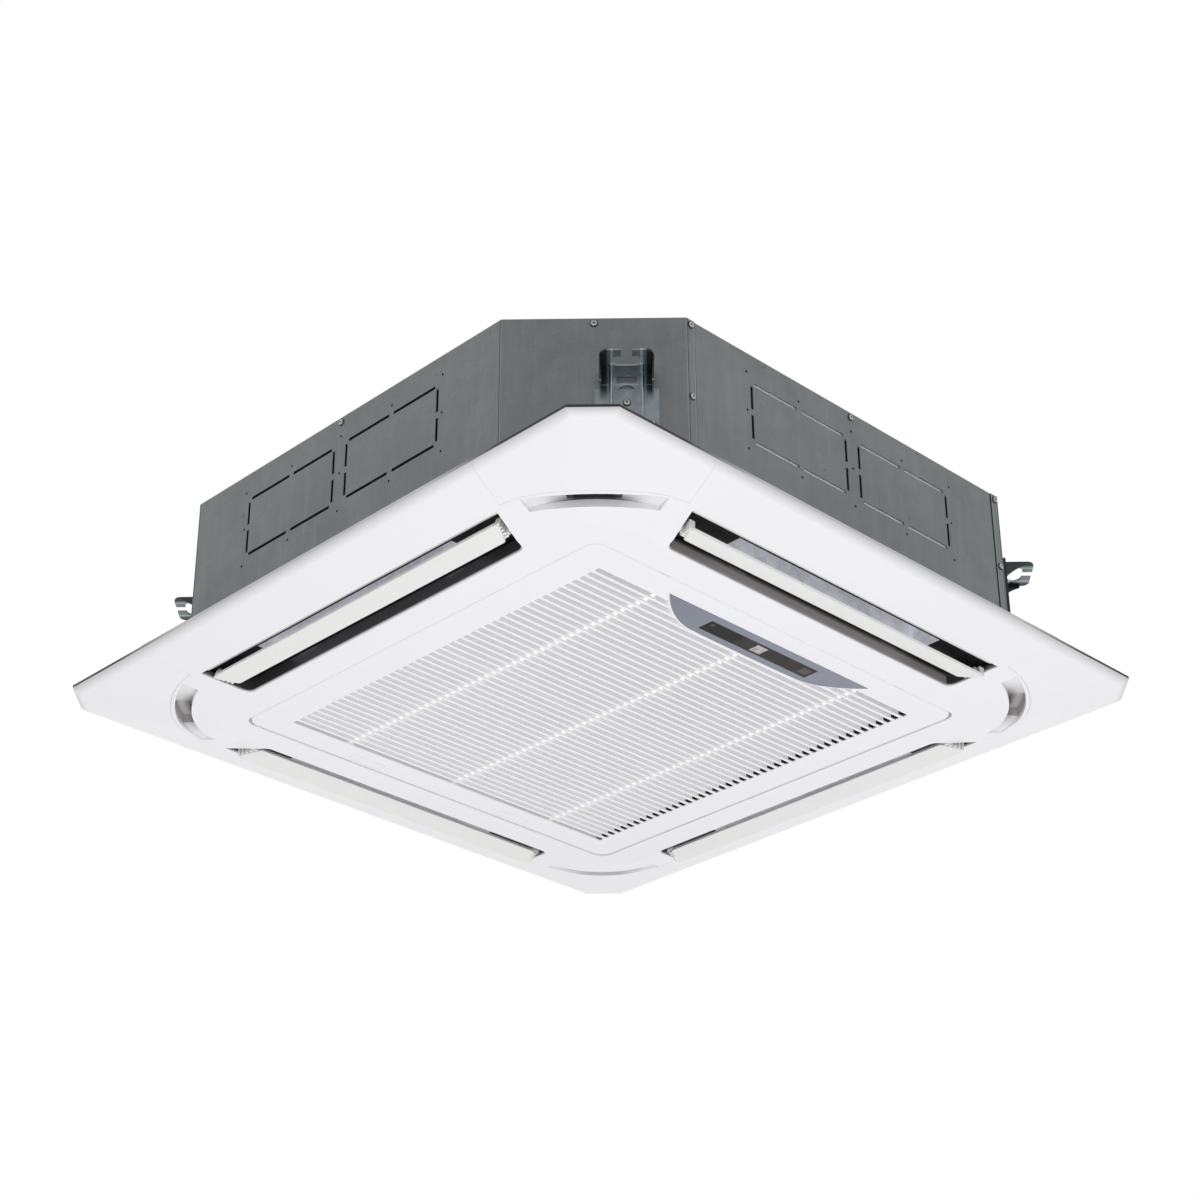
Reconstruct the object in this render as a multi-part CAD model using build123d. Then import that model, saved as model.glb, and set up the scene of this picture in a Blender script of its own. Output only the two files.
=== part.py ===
from build123d import *
from math import atan2, cos, degrees, radians, sin, sqrt, tan
import os

# A ceiling cassette air conditioner with four air outlets: a galvanised body that hangs above the
# ceiling, and a white moulded panel below it with a hinged intake grille.
# Millimetres. z = 0 is the ceiling's lower face, where the panel's rim seats. The body is above it
# and the panel below. The origin is on the fan's axis. -Y is the front, with the display.

# ---- the panel's half width, and the body's inside it
PANEL_HALF = 475.0
BODY_HALF = PANEL_HALF - 55.0
ROOT2 = sqrt(2.0)

# ---- the body's casing
BODY_CUT = 144.0
BODY_CORNER = (2 * BODY_HALF - BODY_CUT) / ROOT2
BODY_TOP = 211.0
BODY_BOTTOM = -19.0
SHEET = 1.0
LAP = 12.5
TRAY_LIP = 12.0
SLIDE_GAP = 0.05
LINER_CLEAR = 0.35
LINER = 18.0
MOTOR_WELL_R = 125.0

# ---- the pressed knockouts in each side of the casing
KNOCKOUT_W = 160.0
KNOCKOUT_H = 77.0
KNOCKOUT_OFFSET = 91.5
KNOCKOUT_Z = 134.5
SLIT = 4.0
SLIT_BRIDGE = 4.0
PILOT_R = 1.6
PILOT_OUT = 8.0
PILOT_OVER = 12.0

# ---- screws
SCREW_R = 2.0
SCREW_CLEAR = 0.1
SCREW_HEAD_R = 4.0
SCREW_HEAD_H = 2.2
SCREW_TIP_GAP = 0.2
LAP_SCREW_Z = [9.0, 110.0, 204.0]
TOP_SCREW_Z = 204.0

# ---- the four hangers, whose slots stand 680 by 780 apart
HANGER_PITCH_X = 2 * BODY_HALF - 160.0
HANGER_PITCH_Y = 2 * BODY_HALF - 60.0
HANGER_T = 2.0
HANGER_W = 59.0
HANGER_BASE_W = 70.0
HANGER_BASE_Z = [62.0, 117.0]
HANGER_Z = 140.0
HANGER_REACH = 45.0
HANGER_ROUND = 9.5
HANGER_SLOT_W = 34.0
HANGER_SLOT_D = 18.0
HANGER_MOUTH = 12.0
HANGER_CHEEK_OUT = 34.0
HANGER_CHEEK_H = 5.0
HANGER_CHEEK_BOW = (14.0, 124.0)
HANGER_HEEL_Z = 103.0
RIDGE_S = 17.0
RIDGE_R = 2.0
RIDGE_FOOT_Z = 66.0
RIDGE_OUT = 20.0
SIGHT_HALF = 11.0
SIGHT_Z = [124.5, 132.5]
EYE_R = 10.0
EYE_Z = [116.0, 121.5]
HANGER_SCREWS = [(0.0, 99.0), (-27.0, 72.0), (27.0, 72.0)]

# ---- pipes at the rear right corner, and the drain at the rear
PIPE_CORNER = 45.0
GAS_R = 7.94
GAS_S = -50.0
GAS_Z = 115.0
GAS_NUT_AF = 29.0
GAS_NUT_L = 24.0
GAS_MOUTH_R = 10.3
GAS_LOW = 34.0
LIQUID_R = 4.76
LIQUID_S = -84.0
LIQUID_Z = 75.0
LIQUID_NUT_AF = 22.0
LIQUID_NUT_L = 18.0
LIQUID_MOUTH_R = 7.2
LIQUID_LOW = 52.0
PIPE_OUT = 55.0
STUB_SHORT = 1.5
PIPE_HOLE_CLEAR = 0.3
HEADER_U = BODY_CORNER - 67.1
PIPE_PLATE_S = [-99.0, -27.0]
PIPE_PLATE_Z = [52.0, 142.0]
PIPE_PLATE_ROUND = 4.0
PLATE_T = 1.5
DRAIN_R = 16.0
DRAIN_WALL = 3.0
DRAIN_OUT = 24.0
DRAIN_COLLAR_R = 23.0
DRAIN_COLLAR_T = 2.0

# ---- the rubber seal where cables enter, on the front right corner
SEAL_T = 4.0
SEAL_S = [-98.0, -22.0]
SEAL_NOTCH_S = -73.0
SEAL_Z = [1.0, 127.0]
SEAL_NOTCH_Z = 58.0
CABLE_S = [-84.0, -36.0]
CABLE_Z = [16.0, 44.0]

# ---- the coil, which sets the size of what stands inside it
COIL_HALF = BODY_HALF - 115.0
COIL_DEPTH = 38.0
COIL_CORNER_R = 80.0
COIL_TOP = 190.0
COIL_GAP_FROM = COIL_HALF - 90.0
END_PLATE_T = 1.5
BEND_R = 8.0
BEND_TUBE_R = 3.5
BEND_ROWS = 6
BEND_PLACE = 0.28
FEEDERS = 3
FEEDER_R = 3.5
FEEDER_IN = 8.0
GAS_FEEDER_X = COIL_HALF - 22.0
LIQUID_FEEDER_X = COIL_HALF - 9.0
HEADER_SHORT = 12.0

# ---- the fan and its motor
MOTOR_R = 70.0
MOTOR_Z = [118.0, 190.0]
MOTOR_BOSS_R = 22.0
MOTOR_BOSS_H = 7.0
MOTOR_ROUND = 8.0
MOTOR_FLANGE_R = 98.0
MOTOR_FLANGE_T = 6.0
MOTOR_MOUNT_R = 110.0
MOTOR_MOUNT_T = 3.0
BUSH_R = 12.0
BUSH_PITCH_R = 84.0
BUSH_COUNT = 3
SHAFT_R = 6.0
SHAFT_FIT = 0.05
SHAFT_BOTTOM = 62.0
SHAFT_IN_MOTOR = 34.0
FAN_R = COIL_HALF - 60.0
FAN_T = 3.0
FAN_HUB_R = 78.0
FAN_CONE_R = 104.0
FAN_HUB_Z = 92.0
FAN_BACK_Z = 162.0
FAN_BOSS_R = 18.0
FAN_BOSS_Z = [82.0, 106.0]
BLADES = 7
BLADE_R = [FAN_R - 75.0, FAN_R - 5.0]
BLADE_SWEEP = 32.0
BLADE_BOW = [0.62, 0.40]
BLADE_T = 3.0
SHROUD_EYE_R = FAN_R - 79.0
SHROUD_KNEE = (5.0, 12.0)
SHROUD_FLARE = (34.0, 6.0)
SHROUD_Z = [44.0, 72.0]
SHROUD_T = 2.5
FAN_NUT_R = 10.0
FAN_NUT_H = 8.0

# ---- the drain pan, the inlet ring and what hangs from them
PAN_BOTTOM = -16.4
PAN_TOP = 22.0
PAN_FLOOR = 4.0
PAN_INNER = COIL_HALF - 48.0
PAN_HOLE_ROUND = 30.0
PAN_TROUGH = [COIL_HALF - 42.0, COIL_HALF + 39.0]
PAN_TROUGH_ROUND = 40.0
OUTLET_R = [BODY_HALF - 68.0, BODY_HALF - 26.0]
OUTLET_HALF_L = BODY_HALF - 248.0
RING_PLATE_HALF = COIL_HALF - 20.0
RING_PLATE_T = 2.5
RING_PLATE_ROUND = 20.0
RING_MOUTH_R = FAN_R - 45.0
RING_THROAT_R = SHROUD_EYE_R - 8.0
RING_KNEE = (8.0, 4.0)
RING_THROAT_Z = 24.0
RING_TOP = 50.0
RING_T = 2.0
BOX_X = 118.0
BOX_Y = [31.0 - RING_PLATE_HALF, -RING_MOUTH_R - 6.0]
BOX_TOP = 24.0
BOX_T = 1.0
BOX_RIM = 4.0
COVER_T = 1.2
TERMINAL = [80.0, 18.0, 14.0]
TERMINALS = 6
TERMINAL_WELL = (3.0, 3.0)
PUMP_XY = (COIL_HALF - 80.0, COIL_HALF + 38.0)
PUMP_R = 26.0
PUMP_Z = [50.0, 150.0]
PUMP_CHAMBER_R = 20.0
PUMP_CHAMBER_H = 20.0
PUMP_STEM = 14.0
PUMP_BEARING = 14.0
IMPELLER_R = 17.0
IMPELLER_GAP = 2.0
IMPELLER_HUB_R = 5.0
IMPELLER_PLATE_T = 2.0
IMPELLER_VANES = 4
VANE_T = 1.6
PIN_R = 2.0
PIN_FIT = 0.05
FLOAT_XY = (COIL_HALF - 140.0, COIL_HALF + 20.0)
FLOAT_R = 12.0
FLOAT_H = 14.0
FLOAT_TRAVEL = 12.0
FLOAT_STEM_R = 3.0
FLOAT_STOP_R = 5.0
FLOAT_STOP_T = 3.0
FLOAT_ARM_W = 12.0
FLOAT_ARM_T = 4.0
FLOAT_Z = 26.0
PUMP_SKIN_GAP = 0.3

# ---- the panel: its profile runs from the rim's edge in to a flat middle
PANEL_CUT = 38.5
PANEL_CORNER = (2 * PANEL_HALF - PANEL_CUT) / ROOT2
LIP = 4.0
EDGE_RUN = 12.0
EDGE_DROP = 12.0
FLAT_RUN = 123.0
PANEL_DROP = 38.7
PLATEAU_Z = -PANEL_DROP
SHOULDER_ROUND = [70.0, 50.0]
SHOULDER_TURNS = [-30.0, -15.0, 0.0, 15.0, 30.0]
WALL = 3.0
DECK_Z = -4.0
PAD_T = 4.0
RIM_W = 9.5
COVER_LIP_GAP = 0.5
COVER_SEAM = 0.25
COVER_POST_R = 3.0
COVER_POST_S = 32.0
COVER_POST_U = PANEL_CORNER - 75.5
BODY_POCKET = 2.0
LEDGE_Z = -21.0
LEDGE_WALL = 2.2
GASKET_IN = 5.0
TROUGH_FLOOR = 3.2
SIDE_POCKET = [BODY_HALF + 7.0, PANEL_HALF - 223.0]
SEAT_ROUND = 30.0

# ---- the steel lugs and screws that hold the panel up to the body
LUG_T = 2.0
LUG_GAP = 0.3
LUG_W = 40.0
LUG_H = 34.0
LUG_HOLE_U = PANEL_CORNER - 99.5
LUG_END = 10.0
LUG_SCREW_OVER = 2.0
LUG_HEAD_R = 5.6

# ---- the panel's outlets: a slot on each side and an arc at each corner
SLOT_R = [PANEL_HALF - 124.5, PANEL_HALF - 66.0]
SLOT_L = [PANEL_HALF - 234.5, PANEL_HALF - 213.0]
SLOT_SPREAD = (SLOT_L[1] - SLOT_L[0]) / (SLOT_R[1] - SLOT_R[0])
SLOT_ROUND = 13.0
SLOT_LIP_R = 3.5
SLOT_LIP_BEVELS = [24.0, 46.0, 67.0]
ARC_CENTRE_U = PANEL_CORNER - 292.5
ARC_R = [147.0, 167.5]
ARC_HALF_DEG = 28.0
ARC_OPEN_DEG = 11.0
ARC_FLOOR_Z = -24.0
ARC_TOP_Z = -12.0
SEAM_APEX_U = PANEL_CORNER - 119.5
SEAM_END = (PANEL_HALF - 60.0, PANEL_HALF - 202.0)
SEAM_RIM = PANEL_HALF - 178.0

# ---- louvres, each with its rest angle about its pivot
LOUVRE_IN = (PANEL_HALF - 106.8, -33.3)
LOUVRE_OUT = (PANEL_HALF - 78.7, -39.3)
LOUVRE_T = 4.0
LOUVRE_L = [SLOT_L[0] - 6.0, SLOT_L[1] - 9.5]
LOUVRE_ROUND = 4.0
LOUVRE_REST = [0.0, 0.0, 0.0, -20.0]
PIVOT = (PANEL_HALF - 99.0, -26.5)
PIVOT_R = 2.5
PIVOT_FIT = 0.06
SLOT_AT_PIVOT = SLOT_L[0] + SLOT_SPREAD * (PIVOT[0] - SLOT_R[0])
HUB_R = 4.6
HUB_L = [SLOT_AT_PIVOT - 16.0, SLOT_AT_PIVOT - 3.4]
PIVOT_END = SLOT_AT_PIVOT + 3.6
TEETH = 5
TOOTH_R = PANEL_HALF - 102.5
TOOTH_STEP = 5.0
TOOTH_T = 2.6
TOOTH_ROOT = 6.0
TOOTH_GAP = 4.3
TOOTH_Z = [1.5, 1.0]
STEPPER_R = 12.0
STEPPER_L = [SLOT_AT_PIVOT + 6.0, SLOT_AT_PIVOT + 24.6]
STEPPER_OFFSET = 8.0
STEPPER_CLEAR = 0.3

# ---- the intake grille
GRILLE_HALF = PANEL_HALF - 167.5
GRILLE_ROUND = 19.0
GRILLE_SEAM = 1.2
OPENING_ROUND = 16.0
GRILLE_SKIN = 3.0
GRILLE_RIM_T = 3.5
GRILLE_TOP = -30.6
GRILLE_EDGE_R = 3.4
SEAT_Z = -29.2
SEAT_HALF = GRILLE_HALF - 15.5
FIELD = (GRILLE_HALF - 44.0, GRILLE_HALF - 37.1)
SLATS = 45
SLAT_GAP = 7.4
SLAT_H = 7.0
SLAT_END = (8.0, 1.3)
BARS = [-172.0, 0.0, 172.0]
BAR_W = 6.0
BAR_BACK = 3.8
HINGE_YZ = (3.5 - GRILLE_HALF, -36.0)
HINGE_X = 200.0
HINGE_R = 1.0
HINGE_FIT = 0.05
HINGE_LUG_R = 1.8
HINGE_NECK = HINGE_LUG_R / ROOT2
HINGE_LUG_W = 15.0
HINGE_LUG_FIT = 0.01
HINGE_NOTCH = 1.0
HINGE_ROOM = 0.2
HINGE_PIN_L = 30.0
HINGE_PIN_GAP = 0.3
HINGE_CHEEK = 2.0
LATCH_X = 125.0
LATCH_W = 50.0
LATCH_Y = [GRILLE_HALF - 20.3, GRILLE_HALF - 6.5]
LATCH_GAP = 0.4
LATCH_FLANGE = 2.0
LATCH_FLANGE_T = 1.6
FILTER_HALF = GRILLE_HALF - 23.5
FILTER_T = 3.0
FILTER_EDGE = 10.0
FILTER_ROUND = 8.0
FILTER_BARS = 3
FILTER_BAR_W = 3.0
FILTER_EAR = [16.0, 0.9]
FILTER_EAR_X = 130.0
NET_T = 0.6

# ---- the display on the grille's front edge
BEZEL_X = [-166.5, 173.0]
BEZEL_Y = 26.0 - GRILLE_HALF
BEZEL_DEPTH = 43.5
BEZEL_T = 2.1
BEZEL_PROUD = 0.6
BEZEL_FIT = 0.12
BEZEL_MARGIN = 2.0
BEZEL_BOW = [(24.0, 0.47), (43.0, 0.74), (64.0, 0.925), (90.0, 0.985)]
WINDOW_X = [-85.5, 95.5]
WINDOW_Y = [BEZEL_Y + 11.0, BEZEL_Y + 33.0]
WINDOW_PROUD = 0.2
LAMP_SIZE = (17.5, 15.5)
LAMP_AT = (4.0, 0.0)
LAMP2_SIZE = (15.0, 13.0)
LAMP2_AT = (84.0, 0.0)
BUTTON_AT = (-78.0, -4.0)
BUTTON_R = 3.0

SIDES = [-90.0, 0.0, 90.0, 180.0]
CORNERS = [-135.0, -45.0, 45.0, 135.0]


def block(x, y, z):
    """A box between two limits along each axis."""
    size = Box(x[1] - x[0], y[1] - y[0], z[1] - z[0], align=(Align.MIN,) * 3)
    return Pos(x[0], y[0], z[0]) * size


def prism(sketch, z0, z1):
    """A flat outline raised from z0 to z1."""
    return extrude(Pos(0, 0, z0) * sketch, z1 - z0, dir=(0, 0, 1))


def rod(start, end, radius):
    """A round bar between two points."""
    axis = Vector(*end) - Vector(*start)
    place = Plane(origin=start, z_dir=axis).location
    return place * Cylinder(radius, axis.length, align=(Align.CENTER, Align.CENTER, Align.MIN))


def octagon_corners(half_x, half_y, corner):
    """The corners of a square whose own corners are cut at the distance corner from the middle."""
    k = corner * ROOT2
    right = [(half_x, half_x - k), (half_x, k - half_x), (k - half_y, half_y)]
    left = [(half_y - k, half_y), (-half_x, k - half_x), (-half_x, half_x - k)]
    return [*right, *left, (half_y - k, -half_y), (k - half_y, -half_y)]


def octagon(half_x, half_y, corner):
    return Polygon(*octagon_corners(half_x, half_y, corner), align=None)


def rounded_square(half, radius):
    return RectangleRounded(2 * half, 2 * half, radius)


def at(angle, distance, s=0.0, z=0.0):
    """A place on an upright face: x runs right along it as seen from outside, y up, z outward."""
    n = (cos(radians(angle)), sin(radians(angle)), 0)
    face = Plane(origin=(distance * n[0], distance * n[1], 0), x_dir=(-n[1], n[0], 0), z_dir=n)
    return face.location * Pos(s, z, 0)


def turned(shape, angle):
    """A shape made for the front side, turned to another side."""
    return Rot(0, 0, angle + 90.0) * shape


# ---- casing

def casing_screws():
    """Where each casing screw sits: its face's angle, distance, offset, height and length."""
    lap_s = BODY_HALF - BODY_CUT - LAP / 2
    liner = liner_outline()
    places = []
    for angle in (-90.0, 90.0):
        deep = BODY_HALF - liner[1] - SCREW_TIP_GAP
        places += [(angle, BODY_HALF, s, z, deep) for s in (-lap_s, lap_s) for z in LAP_SCREW_Z]
        places.append((angle, BODY_HALF - SHEET, 0.0, TOP_SCREW_Z, deep - SHEET))
    for angle in (0.0, 180.0):
        places.append((angle, BODY_HALF, 0.0, TOP_SCREW_Z, BODY_HALF - liner[0] - SCREW_TIP_GAP))
    for angle in CORNERS:
        places.append((angle, BODY_CORNER, 0.0, TOP_SCREW_Z, BODY_CORNER - liner[2] - SCREW_TIP_GAP))
    return places


def hanger_offset():
    """How far along each corner face its hanger stands, and how far out its slot is."""
    x, y = HANGER_PITCH_X / 2, HANGER_PITCH_Y / 2
    return (y - x) / ROOT2, (x + y) / ROOT2 - BODY_CORNER


def hanger_side(angle):
    return 1.0 if angle in (-135.0, 45.0) else -1.0


def hanger_screws():
    deep = BODY_CORNER - liner_outline()[2] - SCREW_TIP_GAP + HANGER_T
    places = []
    for angle in CORNERS:
        middle = hanger_side(angle) * hanger_offset()[0]
        for ds, z in HANGER_SCREWS:
            places.append((angle, BODY_CORNER + HANGER_T, middle + ds, z, deep))
    return places


def screw(place):
    """A pan head screw with a plain shank."""
    angle, distance, s, z, length = place
    shank = Cylinder(SCREW_R, length, align=(Align.CENTER, Align.CENTER, Align.MAX))
    head = Cylinder(SCREW_HEAD_R, SCREW_HEAD_H, align=(Align.CENTER, Align.CENTER, Align.MIN))
    head = fillet(head.edges().group_by(Axis.Z)[-1], SCREW_HEAD_H * 0.6)
    return at(angle, distance, s, z) * (head + shank)


def screw_holes(places):
    """A clearance hole round each shank, through every sheet that it fixes."""
    holes = []
    for angle, distance, s, z, length in places:
        reach = length + SCREW_TIP_GAP / 2
        hole = Cylinder(SCREW_R + SCREW_CLEAR, reach, align=(Align.CENTER, Align.CENTER, Align.MAX))
        holes.append(at(angle, distance, s, z) * hole)
    return holes


def knockout_cuts(angle, distance):
    """Two pressed rectangles on one side, with slits round them and small pilot holes beside."""
    half_w, half_h = KNOCKOUT_W / 2, KNOCKOUT_H / 2
    far, over = KNOCKOUT_OFFSET + half_w + PILOT_OUT, half_h + PILOT_OVER
    pilots = [(s, z) for s in (-far, 0.0, far) for z in (-over, 0.0, over)]
    pilots += [(s, z) for s in (-KNOCKOUT_OFFSET, KNOCKOUT_OFFSET) for z in (-over, over)]
    cuts = [at(angle, distance, s, KNOCKOUT_Z + z) * Cylinder(PILOT_R, 4 * SHEET) for s, z in pilots]
    across, up = half_w - 2 * SLIT_BRIDGE, half_h - 2 * SLIT_BRIDGE
    for s in (-KNOCKOUT_OFFSET, KNOCKOUT_OFFSET):
        for i in (-1, 1):
            for j in (-1, 1):
                level = at(angle, distance, s + i * half_w / 2, KNOCKOUT_Z + j * half_h)
                upright = at(angle, distance, s + i * half_w, KNOCKOUT_Z + j * half_h / 2)
                cuts.append(level * Box(across, SLIT, 4 * SHEET))
                cuts.append(upright * Box(SLIT, up, 4 * SHEET))
    return cuts


def inset(points, distance):
    """The same open path moved sideways to its right, with mitred corners."""
    runs = [Vector(*b) - Vector(*a) for a, b in zip(points, points[1:])]
    normals = [Vector(r.Y, -r.X).normalized() for r in runs]
    moved = []
    for i, point in enumerate(points):
        first, second = normals[max(i - 1, 0)], normals[min(i, len(normals) - 1)]
        step = (first + second) * (distance / (1 + first.dot(second)))
        moved.append((point[0] + step.X, point[1] + step.Y))
    return moved


def end_sheet():
    """A bent sheet: one side, its two corner faces and a lap on each neighbour."""
    bend, lap = BODY_HALF - BODY_CUT, BODY_HALF - BODY_CUT - LAP
    path = [(-lap, -BODY_HALF), (-bend, -BODY_HALF), (-BODY_HALF, -bend)]
    path += [(x, -y) for x, y in reversed(path)]
    outline = Polygon(*path, *reversed(inset(path, SHEET)), align=None)
    return prism(outline, BODY_BOTTOM, BODY_TOP)


def side_sheets():
    """The casing's four sheets: left and right are bent, front and rear are flat."""
    holes = screw_holes(casing_screws() + hanger_screws())
    left = end_sheet() - holes - knockout_cuts(180.0, BODY_HALF)
    right = Rot(0, 0, 180) * end_sheet() - holes - knockout_cuts(0.0, BODY_HALF)
    for angle, s, z, radius in pipe_holes():
        right -= at(angle, BODY_CORNER, s, z) * Cylinder(radius, 8 * SHEET)
    right -= cable_opening()
    half = BODY_HALF - BODY_CUT - 1.5 * SHEET
    flat = block((-half, half), (SHEET - BODY_HALF, 2 * SHEET - BODY_HALF), (BODY_BOTTOM, BODY_TOP))
    front = flat - holes - knockout_cuts(-90.0, BODY_HALF - SHEET)
    rear = Rot(0, 0, 180) * flat - holes - knockout_cuts(90.0, BODY_HALF - SHEET)
    rear -= drain_bore(DRAIN_R + PIPE_HOLE_CLEAR)
    sheets = {"side_sheet_left": left, "side_sheet_right": right}
    sheets.update({"side_sheet_front": front, "side_sheet_rear": rear})
    return sheets


def tray_outline(shrink=0.0):
    half = BODY_HALF - SHEET - SLIDE_GAP - shrink
    return octagon(half, half - SHEET, BODY_CORNER - SHEET - SLIDE_GAP - shrink)


def top_plate():
    """The top sheet with a turned down lip inside the side sheets."""
    tray = prism(tray_outline(), BODY_TOP - TRAY_LIP - SHEET, BODY_TOP)
    tray -= prism(tray_outline(SHEET), BODY_TOP - TRAY_LIP - 2 * SHEET, BODY_TOP - SHEET)
    return tray - screw_holes(casing_screws())


def liner_outline():
    """The foam liner's half widths in x and y, and its distance to a corner face."""
    inside = 2 * SHEET + SLIDE_GAP + LINER_CLEAR
    half = BODY_HALF - SHEET - inside
    return half, half, BODY_CORNER - inside - LINER_CLEAR


def liner():
    """Foam boards: eight round the wall, mitred where they meet, and four under the top sheet."""
    x, y, corner = liner_outline()
    under = BODY_TOP - SHEET - SLIDE_GAP
    outer = octagon_corners(x, y, corner)
    inner = octagon_corners(x - LINER, y - LINER, corner - LINER)
    boards = []
    for i, start in enumerate(outer):
        j = (i + 1) % len(outer)
        plan = Polygon(start, outer[j], inner[j], inner[i], align=None)
        board = prism(plan, BODY_BOTTOM + SHEET, under - LINER)
        for angle, s, z, radius in pipe_holes():
            board -= at(angle, corner, s, z) * Cylinder(radius, 3 * LINER)
        boards.append(board - cable_opening() - drain_bore(DRAIN_R + PIPE_HOLE_CLEAR))
    cover = prism(octagon(x, y, corner) - Circle(MOTOR_WELL_R), under - LINER, under)
    for i in (-x, 0.0):
        for j in (-y, 0.0):
            boards.append(cover & block((i, i + x), (j, j + y), (under - LINER, under)))
    return boards


# ---- hangers

def hanger_cheek():
    """A cheek's outline: out along the ear, down its end and back to the base in a bow."""
    tip = (HANGER_CHEEK_OUT, HANGER_Z - HANGER_CHEEK_H)
    edge = Line((0, HANGER_Z), (HANGER_CHEEK_OUT, HANGER_Z)) + Line((HANGER_CHEEK_OUT, HANGER_Z), tip)
    edge += ThreePointArc(tip, HANGER_CHEEK_BOW, (0, HANGER_HEEL_Z))
    return make_face(edge + Line((0, HANGER_HEEL_Z), (0, HANGER_Z)))


def hanger():
    """A pressed hook: a base on the corner face, two cheeks, two ridges and a slotted ear."""
    out = hanger_offset()[1]
    low, neck = HANGER_BASE_Z
    half, base = HANGER_W / 2, HANGER_BASE_W / 2
    under = HANGER_Z - HANGER_T
    hook = block((-base, base), (low, neck), (0, HANGER_T))
    hook += block((-half, half), (low, HANGER_Z), (0, HANGER_T))
    level = Plane(origin=(0, HANGER_Z, 0), x_dir=(1, 0, 0), z_dir=(0, -1, 0)).location
    ear = Pos(0, HANGER_REACH / 2) * Rectangle(HANGER_W, HANGER_REACH)
    ear = fillet(ear.vertices().group_by(Axis.Y)[-1], HANGER_ROUND)
    hook += level * prism(ear, 0, HANGER_T)
    for x in (HANGER_T - half, half):
        upright = Plane(origin=(x, 0, 0), x_dir=(0, 0, 1), z_dir=(-1, 0, 0))
        hook += extrude(upright * hanger_cheek(), HANGER_T, dir=(-1, 0, 0))
    for x in (-RIDGE_S, RIDGE_S):
        hook += rod((x, RIDGE_FOOT_Z, HANGER_T), (x, under, HANGER_T), RIDGE_R)
        hook += rod((x, under, HANGER_T), (x, under, RIDGE_OUT), RIDGE_R)
    hook &= block((-base, base), (low, HANGER_Z), (0, HANGER_REACH))
    hook -= block((-SIGHT_HALF, SIGHT_HALF), SIGHT_Z, (-1, 2 * HANGER_T))
    eye = Pos(0, EYE_Z[1] - EYE_R) * Cylinder(EYE_R, 4 * HANGER_T)
    hook -= eye & block((-EYE_R, EYE_R), EYE_Z, (-1, 2 * HANGER_T))
    slot = Pos(0, out) * SlotOverall(HANGER_SLOT_W, HANGER_SLOT_D)
    slot += Pos(0, out + HANGER_REACH / 2) * Rectangle(HANGER_MOUTH, HANGER_REACH)
    return hook - level * prism(slot, -HANGER_T, 3 * HANGER_T)


def hangers():
    """The four hangers, each on its own corner face."""
    parts = {}
    shape = hanger()
    s0 = hanger_offset()[0]
    holes = screw_holes(hanger_screws())
    for i, angle in enumerate(CORNERS):
        hook = at(angle, BODY_CORNER, hanger_side(angle) * s0) * shape
        parts[f"hanger_{i + 1}"] = hook - holes
    return parts


# ---- pipes and drain

def pipe_holes():
    """Each refrigerant pipe's corner, offset, height and hole radius."""
    gas = (PIPE_CORNER, GAS_S, GAS_Z, GAS_R + PIPE_HOLE_CLEAR)
    liquid = (PIPE_CORNER, LIQUID_S, LIQUID_Z, LIQUID_R + PIPE_HOLE_CLEAR)
    return [gas, liquid]


def pipe_plate():
    """A small cover round the pipes, on the rear right corner face."""
    (s0, s1), (z0, z1) = PIPE_PLATE_S, PIPE_PLATE_Z
    outline = RectangleRounded(s1 - s0, z1 - z0, PIPE_PLATE_ROUND)
    plate = at(PIPE_CORNER, BODY_CORNER, (s0 + s1) / 2, (z0 + z1) / 2) * extrude(outline, PLATE_T)
    for angle, s, z, radius in pipe_holes():
        plate -= at(angle, BODY_CORNER, s, z) * Cylinder(radius, 6 * PLATE_T)
    return plate


def corner_point(u, s, z):
    """A point at distance u from the axis towards the pipe corner, s along its face."""
    return ((u - s) / ROOT2, (u + s) / ROOT2, z)


def pipe(radius, s, z, low, feeder_x, nut_length):
    """A header tube beside the coil, feeders into the coil's end plate and a stub to its nut."""
    top = COIL_TOP - HEADER_SHORT
    header = rod(corner_point(HEADER_U, s, low), corner_point(HEADER_U, s, top), radius)
    stub_end = BODY_CORNER + PIPE_OUT - nut_length / 2 - STUB_SHORT
    tube = header + rod(corner_point(HEADER_U, s, z), corner_point(stub_end, s, z), radius)
    x, y, _ = corner_point(HEADER_U, s, z)
    end = COIL_GAP_FROM + END_PLATE_T + SLIDE_GAP
    for i in range(FEEDERS):
        level = low + FEEDER_IN + i * (top - low - 2 * FEEDER_IN) / (FEEDERS - 1)
        tube += rod((x, y, level), (feeder_x, y, level), FEEDER_R)
        tube += rod((feeder_x, y, level), (feeder_x, end, level), FEEDER_R)
        tube += Pos(feeder_x, y, level) * Sphere(FEEDER_R)
    return tube


def flare_nut(radius, mouth, across, length, s, z):
    """A hexagon nut over the pipe's end, its outer half open wider for the fitting that joins it."""
    hexagon = RegularPolygon(across / 2, 6, major_radius=False)
    nut = extrude(hexagon - Circle(radius + SLIDE_GAP), length)
    nut -= prism(Circle(mouth), length / 2, length)
    return at(PIPE_CORNER, BODY_CORNER + PIPE_OUT - length, s, z) * nut


def drain_bore(radius):
    """A straight bore for the drain, from the pump out through the rear."""
    x, y = PUMP_XY
    z = PUMP_Z[1] - DRAIN_R
    return rod((x, y + PUMP_R + PUMP_SKIN_GAP, z), (x, BODY_HALF + DRAIN_OUT, z), radius)


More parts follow.
